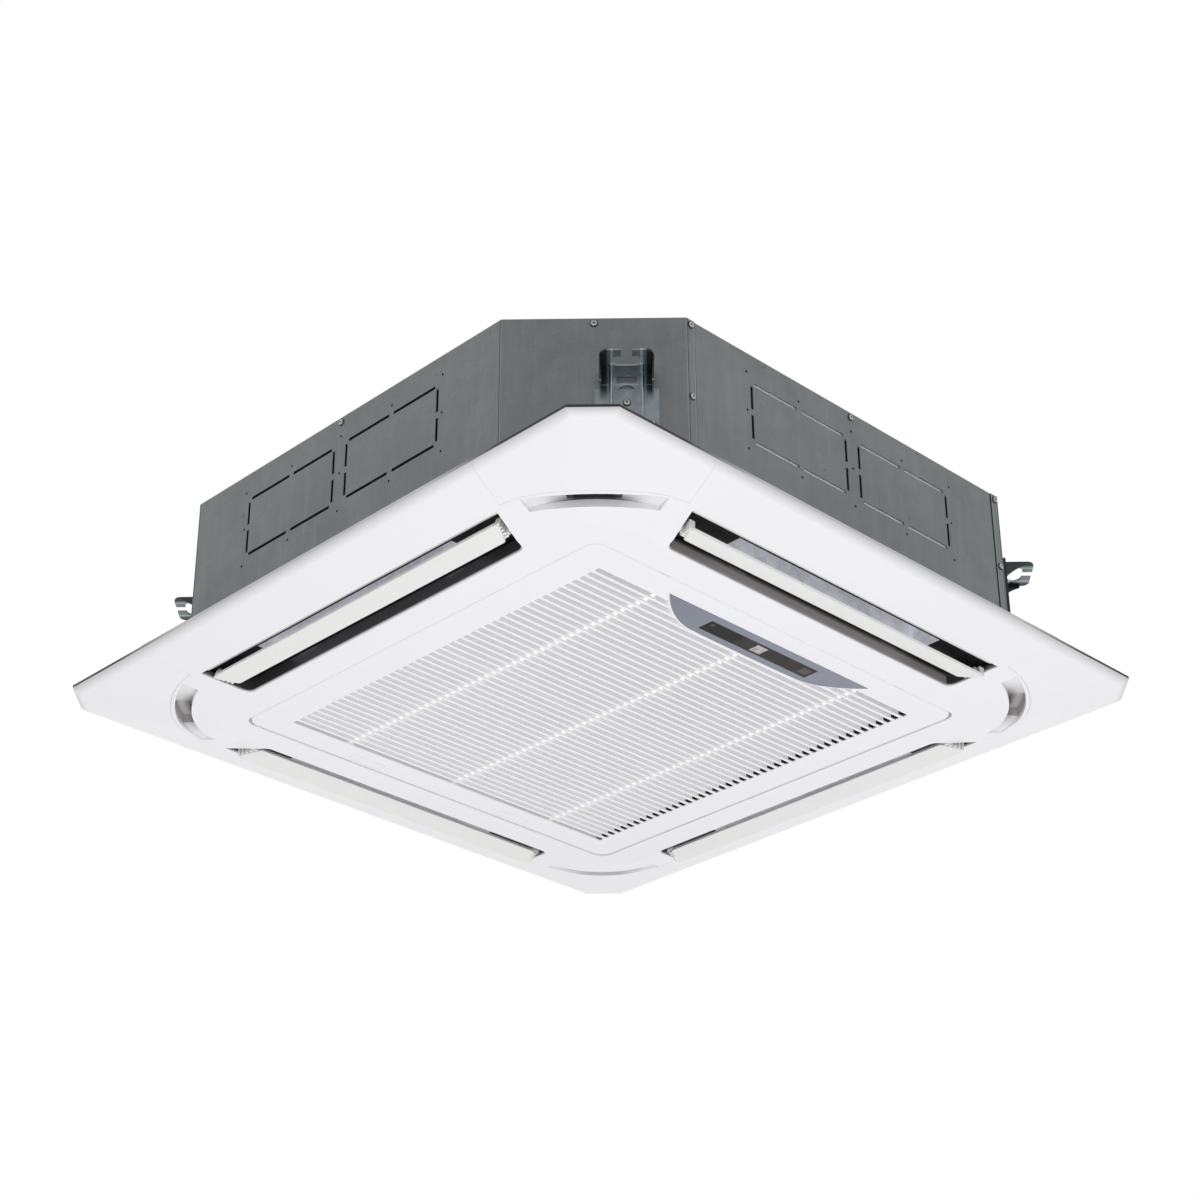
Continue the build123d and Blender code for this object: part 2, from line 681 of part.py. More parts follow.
def drain_outlet():
    """The drain spout with a collar against the rear sheet."""
    x, z = PUMP_XY[0], PUMP_Z[1] - DRAIN_R
    spout = drain_bore(DRAIN_R)
    face = BODY_HALF - SHEET
    spout += rod((x, face, z), (x, face + DRAIN_COLLAR_T, z), DRAIN_COLLAR_R)
    return spout - drain_bore(DRAIN_R - DRAIN_WALL)


def cable_opening():
    """The cable opening through the seal, the corner face and the foam behind it."""
    (s0, s1), (z0, z1) = CABLE_S, CABLE_Z
    face = at(-45.0, BODY_CORNER, (s0 + s1) / 2, (z0 + z1) / 2)
    return face * Box(s1 - s0, z1 - z0, 3 * LINER)


def cable_seal():
    """A black rubber seal on the front right corner face, notched round the hanger."""
    (s0, s1), (low, top) = SEAL_S, SEAL_Z
    points = [(s0, low), (s1, low), (s1, SEAL_NOTCH_Z), (SEAL_NOTCH_S, SEAL_NOTCH_Z)]
    outline = Polygon(*points, (SEAL_NOTCH_S, top), (s0, top), align=None)
    return at(-45.0, BODY_CORNER) * extrude(outline, SEAL_T) - cable_opening()


# ---- fan and motor

def motor_mount():
    """The plate under the top sheet that carries the motor."""
    top = BODY_TOP - SHEET
    return prism(Circle(MOTOR_MOUNT_R), top - MOTOR_MOUNT_T, top)


def motor_bushes():
    low, high = MOTOR_Z[1] + SLIDE_GAP, BODY_TOP - SHEET - MOTOR_MOUNT_T
    bush = prism(Pos(BUSH_PITCH_R, 0) * Circle(BUSH_R), low, high)
    return [Rot(0, 0, i * 360 / BUSH_COUNT) * bush for i in range(BUSH_COUNT)]


def fan_motor():
    """A round motor with a flange on top and a blind bore for its shaft."""
    low, high = MOTOR_Z
    body = fillet(prism(Circle(MOTOR_R), low, high).edges().group_by(Axis.Z)[0], MOTOR_ROUND)
    body += prism(Circle(MOTOR_FLANGE_R), high - MOTOR_FLANGE_T, high)
    body += prism(Circle(MOTOR_BOSS_R), low - MOTOR_BOSS_H, low)
    return body - prism(Circle(SHAFT_R + SHAFT_FIT), low - 2 * MOTOR_BOSS_H, shaft_top() + 1)


def shaft_top():
    return MOTOR_Z[0] - MOTOR_BOSS_H + SHAFT_IN_MOTOR


def revolved(points):
    """A ring with this outline in radius and height, round the fan's axis."""
    return revolve(Plane.XZ * Polygon(*points, align=None), Axis.Z)


def shroud_profile(lift):
    """The fan's front ring, from its eye out to its rim."""
    low, high = SHROUD_Z[0] + lift, SHROUD_Z[1] + lift
    eye = SHROUD_EYE_R
    knee = (eye + SHROUD_KNEE[0], low + SHROUD_KNEE[1])
    return [(eye, low), knee, (eye + SHROUD_FLARE[0], high - SHROUD_FLARE[1]), (FAN_R, high)]


def fan_shroud():
    return revolved(shroud_profile(0.0) + shroud_profile(SHROUD_T)[::-1])


def fan_wheel():
    """A moulded turbo fan: a hub that dips round the motor, a back plate and swept blades."""
    z, back, t = FAN_HUB_Z, FAN_BACK_Z, FAN_T
    bore = SHAFT_R + SHAFT_FIT / 2
    dish = [(bore, z), (FAN_HUB_R, z), (FAN_CONE_R, back), (FAN_R, back), (FAN_R, back + t)]
    dish += [(FAN_CONE_R - t, back + t), (FAN_HUB_R - t, z + t), (bore, z + t)]
    wheel = revolved(dish)
    wheel += prism(Circle(FAN_BOSS_R) - Circle(bore), *FAN_BOSS_Z)
    inner, outer = BLADE_R
    sweep = radians(BLADE_SWEEP)
    tip = (outer * cos(sweep), -outer * sin(sweep))
    middle = (inner + BLADE_BOW[0] * (tip[0] - inner), BLADE_BOW[1] * tip[1])
    outline = trace(ThreePointArc((inner, 0), middle, tip), BLADE_T)
    under = shroud_profile(SHROUD_T)
    beyond = FAN_R + BLADE_T
    clear = revolved([(SHROUD_EYE_R - BLADE_T, 0), *under, (beyond, under[-1][1]), (beyond, 0)])
    blade = prism(outline, SHROUD_Z[0], back + t / 2) - clear
    for i in range(BLADES):
        wheel += Rot(0, 0, i * 360 / BLADES) * blade
    return wheel


def motor_shaft():
    return prism(Circle(SHAFT_R), SHAFT_BOTTOM, shaft_top())


def fan_nut():
    hexagon = RegularPolygon(FAN_NUT_R, 6, major_radius=False) - Circle(SHAFT_R + SHAFT_FIT / 2)
    return prism(hexagon, FAN_BOSS_Z[0] - FAN_NUT_H, FAN_BOSS_Z[0])


# ---- coil

def coil_bottom():
    return PAN_FLOOR + SLIDE_GAP


def coil_fins():
    """The fin block wraps round the fan and is open at the pipe corner."""
    outer = rounded_square(COIL_HALF, COIL_CORNER_R)
    inner = rounded_square(COIL_HALF - COIL_DEPTH, COIL_CORNER_R - COIL_DEPTH)
    span = (COIL_GAP_FROM, COIL_HALF + 1)
    return prism(outer - inner, coil_bottom(), COIL_TOP) - block(span, span, (0, COIL_TOP + 1))


def coil_end_plates():
    """A sheet on each end of the coil."""
    along = (COIL_HALF - COIL_DEPTH, COIL_HALF)
    across = (COIL_GAP_FROM, COIL_GAP_FROM + END_PLATE_T)
    height = (coil_bottom(), COIL_TOP)
    return [block(along, across, height), block(across, along, height)]


def coil_bends():
    """Hairpin ends of the coil's tubes, on the end plate that the pipes don't reach."""
    bends = []
    y = COIL_HALF - COIL_DEPTH * BEND_PLACE
    step = (COIL_TOP - coil_bottom()) / BEND_ROWS
    room = 2 * BEND_R
    hoop = Rot(90, 0, 0) * (Torus(BEND_R, BEND_TUBE_R) & block((0, room), (-room, room), (-room, room)))
    for i in range(BEND_ROWS):
        z = coil_bottom() + (i + 0.5) * step
        bends.append(Pos(COIL_GAP_FROM + END_PLATE_T, y, z) * hoop)
    return bends


# ---- drain pan, inlet ring, controls, pump and float

def drain_pan():
    """A foam tray under the coil, with the four air outlets through it."""
    x, y, corner = liner_outline()
    gap = LINER + LINER_CLEAR
    pan = prism(octagon(x - gap, y - gap, corner - gap), PAN_BOTTOM, PAN_TOP)
    pan -= prism(rounded_square(PAN_INNER, PAN_HOLE_ROUND), PAN_BOTTOM - 1, PAN_TOP + 1)
    inner_round = COIL_CORNER_R - COIL_DEPTH - (COIL_HALF - COIL_DEPTH - PAN_TROUGH[0])
    trough = rounded_square(PAN_TROUGH[1], PAN_TROUGH_ROUND) - rounded_square(PAN_TROUGH[0], inner_round)
    pan -= prism(trough, PAN_FLOOR, PAN_TOP + 1)
    near, far = OUTLET_R
    opening = block((-OUTLET_HALF_L, OUTLET_HALF_L), (-far, -near), (PAN_BOTTOM - 1, PAN_TOP + 1))
    pan -= [turned(opening, angle) for angle in SIDES]
    return pan - [stepper(angle, STEPPER_CLEAR) for angle in SIDES]


def inlet_ring():
    """The bell mouth that leads air into the fan, on a square plate under the pan."""
    low = BODY_BOTTOM
    top = low + RING_PLATE_T
    mouth, throat, t = RING_MOUTH_R, RING_THROAT_R, RING_T
    knee = throat + RING_KNEE[0]
    inner = [(mouth, low), (knee, RING_KNEE[1]), (throat, RING_THROAT_Z), (throat, RING_TOP)]
    outer = [(throat + t, RING_TOP), (throat + t, RING_THROAT_Z), (knee + t, RING_KNEE[1])]
    outer += [(mouth + 2 * t, top), (mouth + 2 * t, low)]
    ring = revolved(inner + outer)
    plate = prism(rounded_square(RING_PLATE_HALF, RING_PLATE_ROUND) - Circle(mouth + t), low, top)
    x, (y0, y1) = BOX_X - BOX_RIM, BOX_Y
    window = block((-x, x), (y0 + BOX_RIM, y1 - BOX_RIM), (low - 1, top + 1))
    return ring + (plate - window)


def control_box():
    """A steel box in the inlet ring's plate, open below."""
    low, (y0, y1) = BODY_BOTTOM + RING_PLATE_T, BOX_Y
    shell = block((-BOX_X, BOX_X), (y0, y1), (low, BOX_TOP))
    x = BOX_X - BOX_T
    return shell - block((-x, x), (y0 + BOX_T, y1 - BOX_T), (low - 1, BOX_TOP - BOX_T))


def control_cover():
    y0, y1 = BOX_Y
    return block((-BOX_X, BOX_X), (y0, y1), (BODY_BOTTOM - COVER_T, BODY_BOTTOM))


def terminal_block():
    """The row of terminals inside the control box."""
    w, d, h = TERMINAL
    y = sum(BOX_Y) / 2
    top = BOX_TOP - BOX_T
    bar = block((-w / 2, w / 2), (y - d / 2, y + d / 2), (top - h, top))
    radius, depth = TERMINAL_WELL
    pitch = w / TERMINALS
    centres = [-w / 2 + (i + 0.5) * pitch for i in range(TERMINALS)]
    return bar - [Pos(x, y, top - h) * Cylinder(radius, 2 * depth) for x in centres]


def drain_pump():
    """The condensate pump: a motor on a stem from the liner, with an open chamber below."""
    x, y = PUMP_XY
    low, high = PUMP_Z
    under = BODY_TOP - SHEET - SLIDE_GAP - LINER
    s = PUMP_STEM / 2
    pump = prism(Pos(x, y) * Circle(PUMP_R), low, high)
    pump += block((x - s, x + s), (y - s, y + s), (high - 1, under - SLIDE_GAP))
    pump -= prism(Pos(x, y) * Circle(PUMP_CHAMBER_R), low - 1, low + PUMP_CHAMBER_H)
    bearing = low + PUMP_CHAMBER_H + PUMP_BEARING
    return pump - prism(Pos(x, y) * Circle(PIN_R + PIN_FIT), low, bearing)


def pump_impeller():
    """A hub with flat vanes on a thin shaft."""
    x, y = PUMP_XY
    low = PUMP_Z[0] + IMPELLER_GAP
    high = PUMP_Z[0] + PUMP_CHAMBER_H - IMPELLER_GAP
    wheel = prism(Circle(IMPELLER_HUB_R), low, high)
    wheel += prism(Circle(IMPELLER_R), high - IMPELLER_PLATE_T, high)
    wheel += prism(Circle(PIN_R), low, high + PUMP_BEARING)
    vane = block((0, IMPELLER_R - 1), (-VANE_T / 2, VANE_T / 2), (low, high - IMPELLER_PLATE_T / 2))
    for i in range(IMPELLER_VANES):
        wheel += Rot(0, 0, i * 360 / IMPELLER_VANES) * vane
    return Pos(x, y, 0) * wheel


def float_stem():
    """The float switch's stem, with a stop below and an arm to the pump above."""
    x, y = FLOAT_XY
    top = FLOAT_Z + FLOAT_H + FLOAT_TRAVEL + FLOAT_STOP_T
    stem = prism(Circle(FLOAT_STEM_R), FLOAT_Z - FLOAT_STOP_T, top + FLOAT_ARM_T / 2)
    stem += prism(Circle(FLOAT_STOP_R), FLOAT_Z - FLOAT_STOP_T, FLOAT_Z)
    run = Vector(PUMP_XY[0] - x, PUMP_XY[1] - y)
    w = FLOAT_ARM_W / 2
    arm = block((-w, run.length - PUMP_R - PUMP_SKIN_GAP), (-w, w), (top, top + FLOAT_ARM_T))
    return Pos(x, y, 0) * (stem + Rot(0, 0, degrees(atan2(run.Y, run.X))) * arm)


def float_ring():
    """The float: a ring that rides up the stem."""
    ring = Circle(FLOAT_R) - Circle(FLOAT_STEM_R + PIN_FIT)
    return Pos(*FLOAT_XY, 0) * prism(ring, FLOAT_Z, FLOAT_Z + FLOAT_H)


# ---- panel

def panel_profile(wall, shift):
    """The panel's section in distance and height, moved inward by wall and out by shift."""
    slope = atan2(PANEL_DROP - EDGE_DROP, FLAT_RUN - EDGE_RUN)
    c, s = cos(slope), sin(slope)
    run, rise = EDGE_RUN, EDGE_DROP - LIP
    radius = (run**2 + rise**2) / (2 * (rise * c - run * s))
    end = (PANEL_HALF - EDGE_RUN + shift, -EDGE_DROP)
    centre = (end[0] - radius * s, end[1] + radius * c)
    inner = radius - wall
    edge = PANEL_HALF + shift - wall
    lip = (edge, centre[1] - sqrt(inner**2 - (edge - centre[0]) ** 2))
    meet = (centre[0] + inner * s, centre[1] - inner * c)
    start = atan2(lip[1] - centre[1], lip[0] - centre[0])
    finish = atan2(meet[1] - centre[1], meet[0] - centre[0])
    half = (start + finish) / 2
    middle = (centre[0] + inner * cos(half), centre[1] + inner * sin(half))
    flat_z = wall - PANEL_DROP
    flat_r = meet[0] - (meet[1] - flat_z) / tan(slope)
    back = -2 * PANEL_HALF
    outline = Line((back, 0), (edge, 0)) + Line((edge, 0), lip) + ThreePointArc(lip, middle, meet)
    outline += Line(meet, (flat_r, flat_z)) + Line((flat_r, flat_z), (back, flat_z))
    outline += Line((back, flat_z), (back, 0))
    return make_face(outline)


def shoulder(turn, wall):
    """The section's slope at a turn from the corner, between the rounded plateau and the rim."""
    turn = radians(45.0 + turn)
    spread = cos(turn) + sin(turn)
    inner, outer = SHOULDER_ROUND
    start = (PANEL_HALF - FLAT_RUN - inner) * spread + inner
    end = (PANEL_HALF - EDGE_RUN - outer) * spread + outer
    slope = (PANEL_DROP - EDGE_DROP) / (end - start)
    low = wall * sqrt(1 + slope**2) - PANEL_DROP
    back = -2 * PANEL_HALF
    return Polygon((back, low + slope * (back - start)), (start - low / slope, 0), (back, 0), align=None)


def dome(wall=0.0):
    """The panel as a solid block: four sides, four corners and the slopes rounded between them."""
    sections = [(angle, panel_profile(wall, 0.0)) for angle in SIDES]
    sections += [(angle, panel_profile(wall, PANEL_CORNER - PANEL_HALF)) for angle in CORNERS]
    sections += [(angle + turn, shoulder(turn, wall)) for angle in CORNERS for turn in SHOULDER_TURNS]
    body = None
    for angle, section in sections:
        n = (cos(radians(angle)), sin(radians(angle)), 0)
        upright = Plane(origin=(0, 0, 0), x_dir=n, z_dir=(n[1], -n[0], 0))
        ridge = extrude(upright * section, 2 * PANEL_HALF, both=True)
        body = ridge if body is None else body & ridge
    return body


def panel_outline(shrink):
    return octagon(PANEL_HALF - shrink, PANEL_HALF - shrink, PANEL_CORNER - shrink)


def slot_outline(grow=0.0):
    """The front outlet: longer at its outer edge, with round inner corners."""
    near, far = SLOT_R
    short, long = SLOT_L
    points = [(-long - grow, -far - grow), (long + grow, -far - grow)]
    points += [(short + grow, -near + grow), (-short - grow, -near + grow)]
    shape = Polygon(*points, align=None)
    return fillet(shape.vertices().group_by(Axis.Y)[-1], SLOT_ROUND + grow)


def slot_lip():
    """Three bevels that round the front outlet's inner edge."""
    cuts = []
    for bevel in SLOT_LIP_BEVELS:
        c, s = cos(radians(bevel)), sin(radians(bevel))
        reach, slope = SLOT_LIP_R * (1 + (s - 1) / c), s / c
        low = Pos(0, 0, PLATEAU_Z - 1) * slot_outline(reach + slope)
        cuts.append(extrude(low, 1 + reach / slope, dir=(0, 0, 1), taper=bevel))
    return cuts


def corner_wedge(inner, outer, half_deg):
    """A piece of ring on the rear right corner, round the corner arcs' centre."""
    k = ARC_CENTRE_U / ROOT2
    start = 45.0 - half_deg
    wedge = [(0, 0)]
    wedge += [(2 * outer * cos(radians(a)), 2 * outer * sin(radians(a))) for a in (start, 45.0, 45.0 + half_deg)]
    ring = (Circle(outer) - Circle(inner)) & Polygon(*wedge, align=None)
    return Pos(k, k) * ring


def cover_outline(clearance):
    """A corner cover in plan: an arc inside, two seams out to the rim."""
    x, y = SEAM_END
    apex = SEAM_APEX_U / ROOT2
    c = clearance
    far = PANEL_HALF + 10
    arc = ThreePointArc((y + c, x + c), (apex + c, apex + c), (x + c, y + c))
    path = arc + Line((x + c, y + c), (far, SEAM_RIM + c)) + Line((far, SEAM_RIM + c), (far, far))
    path += Line((far, far), (SEAM_RIM + c, far)) + Line((SEAM_RIM + c, far), (y + c, x + c))
    return make_face(path)


def at_corner(shape, angle):
    """A shape made for the rear right corner, turned to another corner."""
    return Rot(0, 0, angle - 45.0) * shape


def panel_frame():
    """The moulded panel: shell, seat for the body, grille opening and the air outlets."""
    frame = dome()
    pocket = octagon(*[BODY_HALF + BODY_POCKET] * 2, BODY_CORNER + BODY_POCKET + LUG_T + LUG_GAP)
    frame -= prism(pocket, LEDGE_Z, 1) & dome(LEDGE_WALL)
    frame -= prism(panel_outline(RIM_W), DECK_Z, 1)
    frame -= prism(rounded_square(SEAT_HALF, GRILLE_ROUND), PLATEAU_Z - 1, 1)
    opening = GRILLE_HALF + GRILLE_SEAM
    frame -= prism(rounded_square(opening, OPENING_ROUND), PLATEAU_Z - 1, SEAT_Z)
    outer = rounded_square(SLOT_R[0] - 2 * WALL, SEAT_ROUND)
    trough = outer - rounded_square(opening + WALL, GRILLE_ROUND)
    frame -= prism(trough, PLATEAU_Z + TROUGH_FLOOR, 1)
    hollow = dome(WALL)
    near, half = SIDE_POCKET
    side = block((-half, half), (RIM_W - PANEL_HALF, -near), (PLATEAU_Z, 1)) & hollow
    frame -= [turned(side, angle) for angle in SIDES]
    slot = [prism(slot_outline(), PLATEAU_Z - 1, 1), *slot_lip()]
    frame -= [turned(cut, angle) for cut in slot for angle in SIDES]
    frame -= [turned(pivot_bore(), angle) for angle in SIDES]
    frame -= [stepper(angle, STEPPER_CLEAR) for angle in SIDES]
    recess = prism(corner_wedge(*ARC_R, ARC_HALF_DEG), PLATEAU_Z - 1, ARC_FLOOR_Z)
    recess += prism(corner_wedge(ARC_R[0] + WALL, ARC_R[1], ARC_OPEN_DEG), PLATEAU_Z - 1, ARC_TOP_Z)
    keep = dome(WALL + COVER_LIP_GAP) & prism(panel_outline(0.0), DECK_Z - PAD_T, 1)
    corner = prism(cover_outline(0.0), PLATEAU_Z - 1, 1) - keep
    for angle in CORNERS:
        frame -= at_corner(recess, angle)
        frame -= at_corner(corner, angle)
        frame -= at_corner(lug_screw_hole(), angle)
    for side in (-1, 1):
        frame += hinge_lug(side * HINGE_X)
    return frame


def corner_covers():
    """The snap-on covers over the panel's corners, each with two posts to the pad above."""
    shell = dome() - dome(WALL)
    outline = prism(cover_outline(COVER_SEAM), PLATEAU_Z - 1, -COVER_LIP_GAP)
    cover = shell & outline
    core = dome(WALL / 2)
    for s in (-COVER_POST_S, COVER_POST_S):
        x, y, _ = corner_point(COVER_POST_U, s, 0)
        post = rod((x, y, PLATEAU_Z), (x, y, DECK_Z - PAD_T - SLIDE_GAP), COVER_POST_R)
        cover += post & core
    return {f"corner_cover_{i + 1}": at_corner(cover, angle) for i, angle in enumerate(CORNERS)}


# ---- how the panel hangs on the body: a steel lug and a screw at each corner

def lug():
    """An angle under each corner of the body, resting on the panel's corner pad."""
    u0, half = BODY_CORNER + SLIDE_GAP, LUG_W / 2
    leg = block((-half, half), (DECK_Z, DECK_Z + LUG_H), (0, LUG_T))
    foot = block((-half, half), (DECK_Z, DECK_Z + LUG_T), (0, LUG_HOLE_U + LUG_END - u0))
    return at(45.0, u0) * (leg + foot) - lug_screw_hole()


def lug_screw_hole():
    x, y, _ = corner_point(LUG_HOLE_U, 0, 0)
    return rod((x, y, DECK_Z - 2 * PAD_T), (x, y, DECK_Z + 2 * PAD_T), SCREW_R + SCREW_CLEAR)


def panel_screw():
    """The screw that holds the panel's corner pad up to its lug, from below."""
    x, y, _ = corner_point(LUG_HOLE_U, 0, 0)
    under = DECK_Z - PAD_T
    head = rod((x, y, under - SCREW_HEAD_H), (x, y, under), LUG_HEAD_R)
    return head + rod((x, y, under), (x, y, DECK_Z + LUG_T + LUG_SCREW_OVER), SCREW_R)


def panel_gasket():
    """Foam between the panel's ledge and the body, open over the outlets."""
    half = BODY_HALF - GASKET_IN
    outline = octagon(half, half, BODY_CORNER - GASKET_IN) - rounded_square(SLOT_R[0] - WALL, SEAT_ROUND)
    foam = prism(outline, LEDGE_Z, BODY_BOTTOM)
    foam -= [turned(prism(slot_outline(1.0), LEDGE_Z - 1, 1), angle) for angle in SIDES]
    return foam - [stepper(angle, STEPPER_CLEAR) for angle in SIDES]


# ---- louvres and their motors

def side_rod(r, z, start, end, radius):
    """A round bar along the front side, at a distance from the axis."""
    return rod((start, -r, z), (end, -r, z), radius)


def pivot_bore():
    bores = side_rod(*PIVOT, HUB_L[1], PIVOT_END + 1, PIVOT_R + PIVOT_FIT)
    return bores + side_rod(*PIVOT, -PIVOT_END - 1, -HUB_L[1], PIVOT_R + PIVOT_FIT)


def louvre(rest):
    """One outlet's flap: a flat blade with a hub, a pivot and a comb of teeth at each end."""
    run, drop = LOUVRE_OUT[0] - LOUVRE_IN[0], LOUVRE_IN[1] - LOUVRE_OUT[1]
    width = sqrt(run**2 + drop**2)
    c, s = run / width, drop / width
    middle = [(a + b) / 2 for a, b in zip(LOUVRE_IN, LOUVRE_OUT)]
    face = Plane(origin=(0, -middle[0], middle[1]), x_dir=(1, 0, 0), z_dir=(0, s, -c)).location
    short, long = LOUVRE_L
    w = width / 2
    outline = Polygon((-long, w), (long, w), (short, -w), (-short, -w), align=None)
    outline = fillet(outline.vertices(), LOUVRE_ROUND)
    blade = extrude(outline, LOUVRE_T, dir=(0, 0, -1))
    lower = blade.edges().group_by(Axis.Z)[-1]
    flap = face * fillet(lower, LOUVRE_T * 0.3)
    for side in (-1, 1):
        flap += side_rod(*PIVOT, side * HUB_L[0], side * HUB_L[1], HUB_R)
        flap += side_rod(*PIVOT, side * HUB_L[1], side * PIVOT_END, PIVOT_R)
        for i in range(TEETH):
            r = TOOTH_R + i * TOOTH_STEP
            root = short + (long - short) * (r - LOUVRE_IN[0]) / run - TOOTH_ROOT
            tip = SLOT_L[0] + SLOT_SPREAD * (r - SLOT_R[0]) - TOOTH_GAP
            base = LOUVRE_IN[1] - drop * (r - LOUVRE_IN[0]) / run
            x = sorted((side * root, side * tip))
            flap += block(x, (-r - TOOTH_T, -r), (base + TOOTH_Z[0], PIVOT[1] + TOOTH_Z[1]))
    return flap.rotate(Axis((0, -PIVOT[0], PIVOT[1]), (1, 0, 0)), rest)


def stepper(angle, grow=0.0):
    """A small round motor beyond one end of a louvre, its shaft offset from its middle."""
    r, z = PIVOT
    start, end = STEPPER_L
    body = side_rod(r, z + STEPPER_OFFSET, start - grow, end + grow, STEPPER_R + grow)
    return turned(body, angle)


# ---- intake grille

def bezel_outline(grow=0.0):
    """The display's outline: straight along the front, bowed towards the slats."""
    (x0, x1), y, d = BEZEL_X, BEZEL_Y, BEZEL_DEPTH
    left, right = (x0 - grow, y - grow), (x1 + grow, y - grow)
    rise = [(x0 - grow + dx, y + grow + k * d) for dx, k in BEZEL_BOW]
    fall = [(x1 + grow - dx, y + grow + k * d) for dx, k in reversed(BEZEL_BOW)]
    top = ((x0 + x1) / 2, y + grow + d)
    return make_face(Spline(left, *rise, top, *fall, right) + Line(right, left))


def slat_gaps(bars):
    """The open strips between the slats, split at these bars and kept off the display."""
    half_x, half_y = FIELD
    pitch = 2 * half_y / SLATS
    stops = [-half_x] + [x for bar in bars for x in (bar - BAR_W / 2, bar + BAR_W / 2)] + [half_x]
    strips = []
    for i in range(SLATS):
        y = -half_y + (i + 0.5) * pitch
        for left, right in zip(stops[::2], stops[1::2]):
            strips.append(Pos((left + right) / 2, y) * Rectangle(right - left, SLAT_GAP))
    return Sketch(children=strips) - bezel_outline(BEZEL_MARGIN)


def intake_grille():
    """The hinged grille: a flat skin with slats and bars, a rim behind it and hinge bores."""
    skin = prism(rounded_square(GRILLE_HALF, GRILLE_ROUND), PLATEAU_Z, GRILLE_TOP)
    low = skin.edges().group_by(Axis.Z)[0]
    grille = fillet(low, GRILLE_EDGE_R)
    inner = GRILLE_HALF - GRILLE_RIM_T
    room = rounded_square(inner, GRILLE_ROUND - GRILLE_RIM_T)
    half_x, half_y = FIELD
    field = Rectangle(2 * half_x + 2 * WALL, 2 * half_y + 2 * WALL)
    grille -= prism(room - field, PLATEAU_Z + GRILLE_SKIN, GRILLE_TOP + 1)
    grille -= prism(field, PLATEAU_Z + SLAT_H, GRILLE_TOP + 1)
    grille -= prism(slat_gaps([]), PLATEAU_Z - 1, PLATEAU_Z + BAR_BACK)
    grille -= prism(slat_gaps(BARS), PLATEAU_Z - 1, PLATEAU_Z + SLAT_H + 1)
    back, skin = SLAT_END
    grille -= block((half_x - back, half_x + 2 * WALL), (-half_y, half_y), (PLATEAU_Z + skin, GRILLE_TOP + 1))
    lift = BEZEL_T - BEZEL_PROUD
    grille -= prism(bezel_outline(BEZEL_FIT), PLATEAU_Z - 1, PLATEAU_Z + lift)
    for side in (-1, 1):
        grille += hinge_knuckle(side * HINGE_X)
        grille -= latch_window(side * LATCH_X)
    return grille


def hinge_knuckle(x):
    """Solid rim on both sides of a hinge lug, with the notch for the lug between them."""
    y, z = HINGE_YZ
    notch = HINGE_LUG_W / 2 + HINGE_NOTCH
    wide = HINGE_PIN_L / 2 + HINGE_CHEEK
    edge = GRILLE_EDGE_R
    cheeks = block((x - wide, x + wide), (y, y + edge), (z - HINGE_R / 2, GRILLE_TOP))
    gap = block((x - notch, x + notch), (y - 2 * edge, y + 2 * edge), (z - HINGE_LUG_R - HINGE_ROOM, 0))
    return cheeks - gap


def hinge_cuts(x):
    """The space round a hinge lug, and the bore for its pin."""
    y, z = HINGE_YZ
    notch = HINGE_LUG_W / 2 + HINGE_NOTCH
    deep = HINGE_LUG_R + HINGE_ROOM
    room = block((x - notch, x + notch), (y - 4 * deep, y + deep + 2 * HINGE_ROOM), (z, 0))
    room += block((x - notch, x + notch), (y - 4 * deep, y), (z - HINGE_NECK - HINGE_ROOM, 0))
    room += rod((x - notch, y, z), (x + notch, y, z), deep)
    half = HINGE_PIN_L / 2
    return room + rod((x - half, y, z), (x + half, y, z), HINGE_R + HINGE_FIT)


def hinge_lug(x):
    """A lug that hangs from the panel's seat and holds one hinge pin."""
    y, z = HINGE_YZ
    half = HINGE_LUG_W / 2
    drop = block((x - half, x + half), (y - HINGE_NECK, y + HINGE_NECK), (z, SEAT_Z + 1))
    drop += rod((x - half, y, z), (x + half, y, z), HINGE_LUG_R)
    return drop - rod((x - half - 1, y, z), (x + half + 1, y, z), HINGE_R + HINGE_LUG_FIT)


def hinge_pins():
    y, z = HINGE_YZ
    half = HINGE_PIN_L / 2 - HINGE_PIN_GAP
    return [rod((x - half, y, z), (x + half, y, z), HINGE_R) for x in (-HINGE_X, HINGE_X)]


def latch_window(x):
    half, (y0, y1) = LATCH_W / 2 + LATCH_GAP, LATCH_Y
    through = (PLATEAU_Z - 1, PLATEAU_Z + GRILLE_SKIN + 1)
    return block((x - half, x + half), (y0 - LATCH_GAP, y1 + LATCH_GAP), through)


def latch(x):
    """A press catch: a flush button with a flange that rests on the grille's skin."""
    half, (y0, y1) = LATCH_W / 2, LATCH_Y
    seat = PLATEAU_Z + GRILLE_SKIN + SLIDE_GAP
    f = LATCH_FLANGE
    button = block((x - half, x + half), (y0, y1), (PLATEAU_Z, seat + LATCH_FLANGE_T / 2))
    wide = block((x - half - f, x + half + f), (y0 - f, y1), (seat, seat + LATCH_FLANGE_T))
    return button + wide


def filter_frame():
    """The filter's moulded frame: an edge and cross bars, lying on the grille's rim."""
    low = GRILLE_TOP + SLIDE_GAP
    outline = rounded_square(FILTER_HALF, FILTER_ROUND) - filter_windows()
    frame = prism(outline, low, low + FILTER_T)
    reach = GRILLE_HALF - GRILLE_RIM_T / 2
    near = FILTER_HALF - FILTER_EDGE
    (width, thick), x = FILTER_EAR, FILTER_EAR_X
    ear = block((-width / 2, width / 2), (-reach, -near), (low, low + thick))
    ears = [turned(Pos(s, 0, 0) * ear, angle) for angle in SIDES for s in (-x, x)]
    return frame + ears


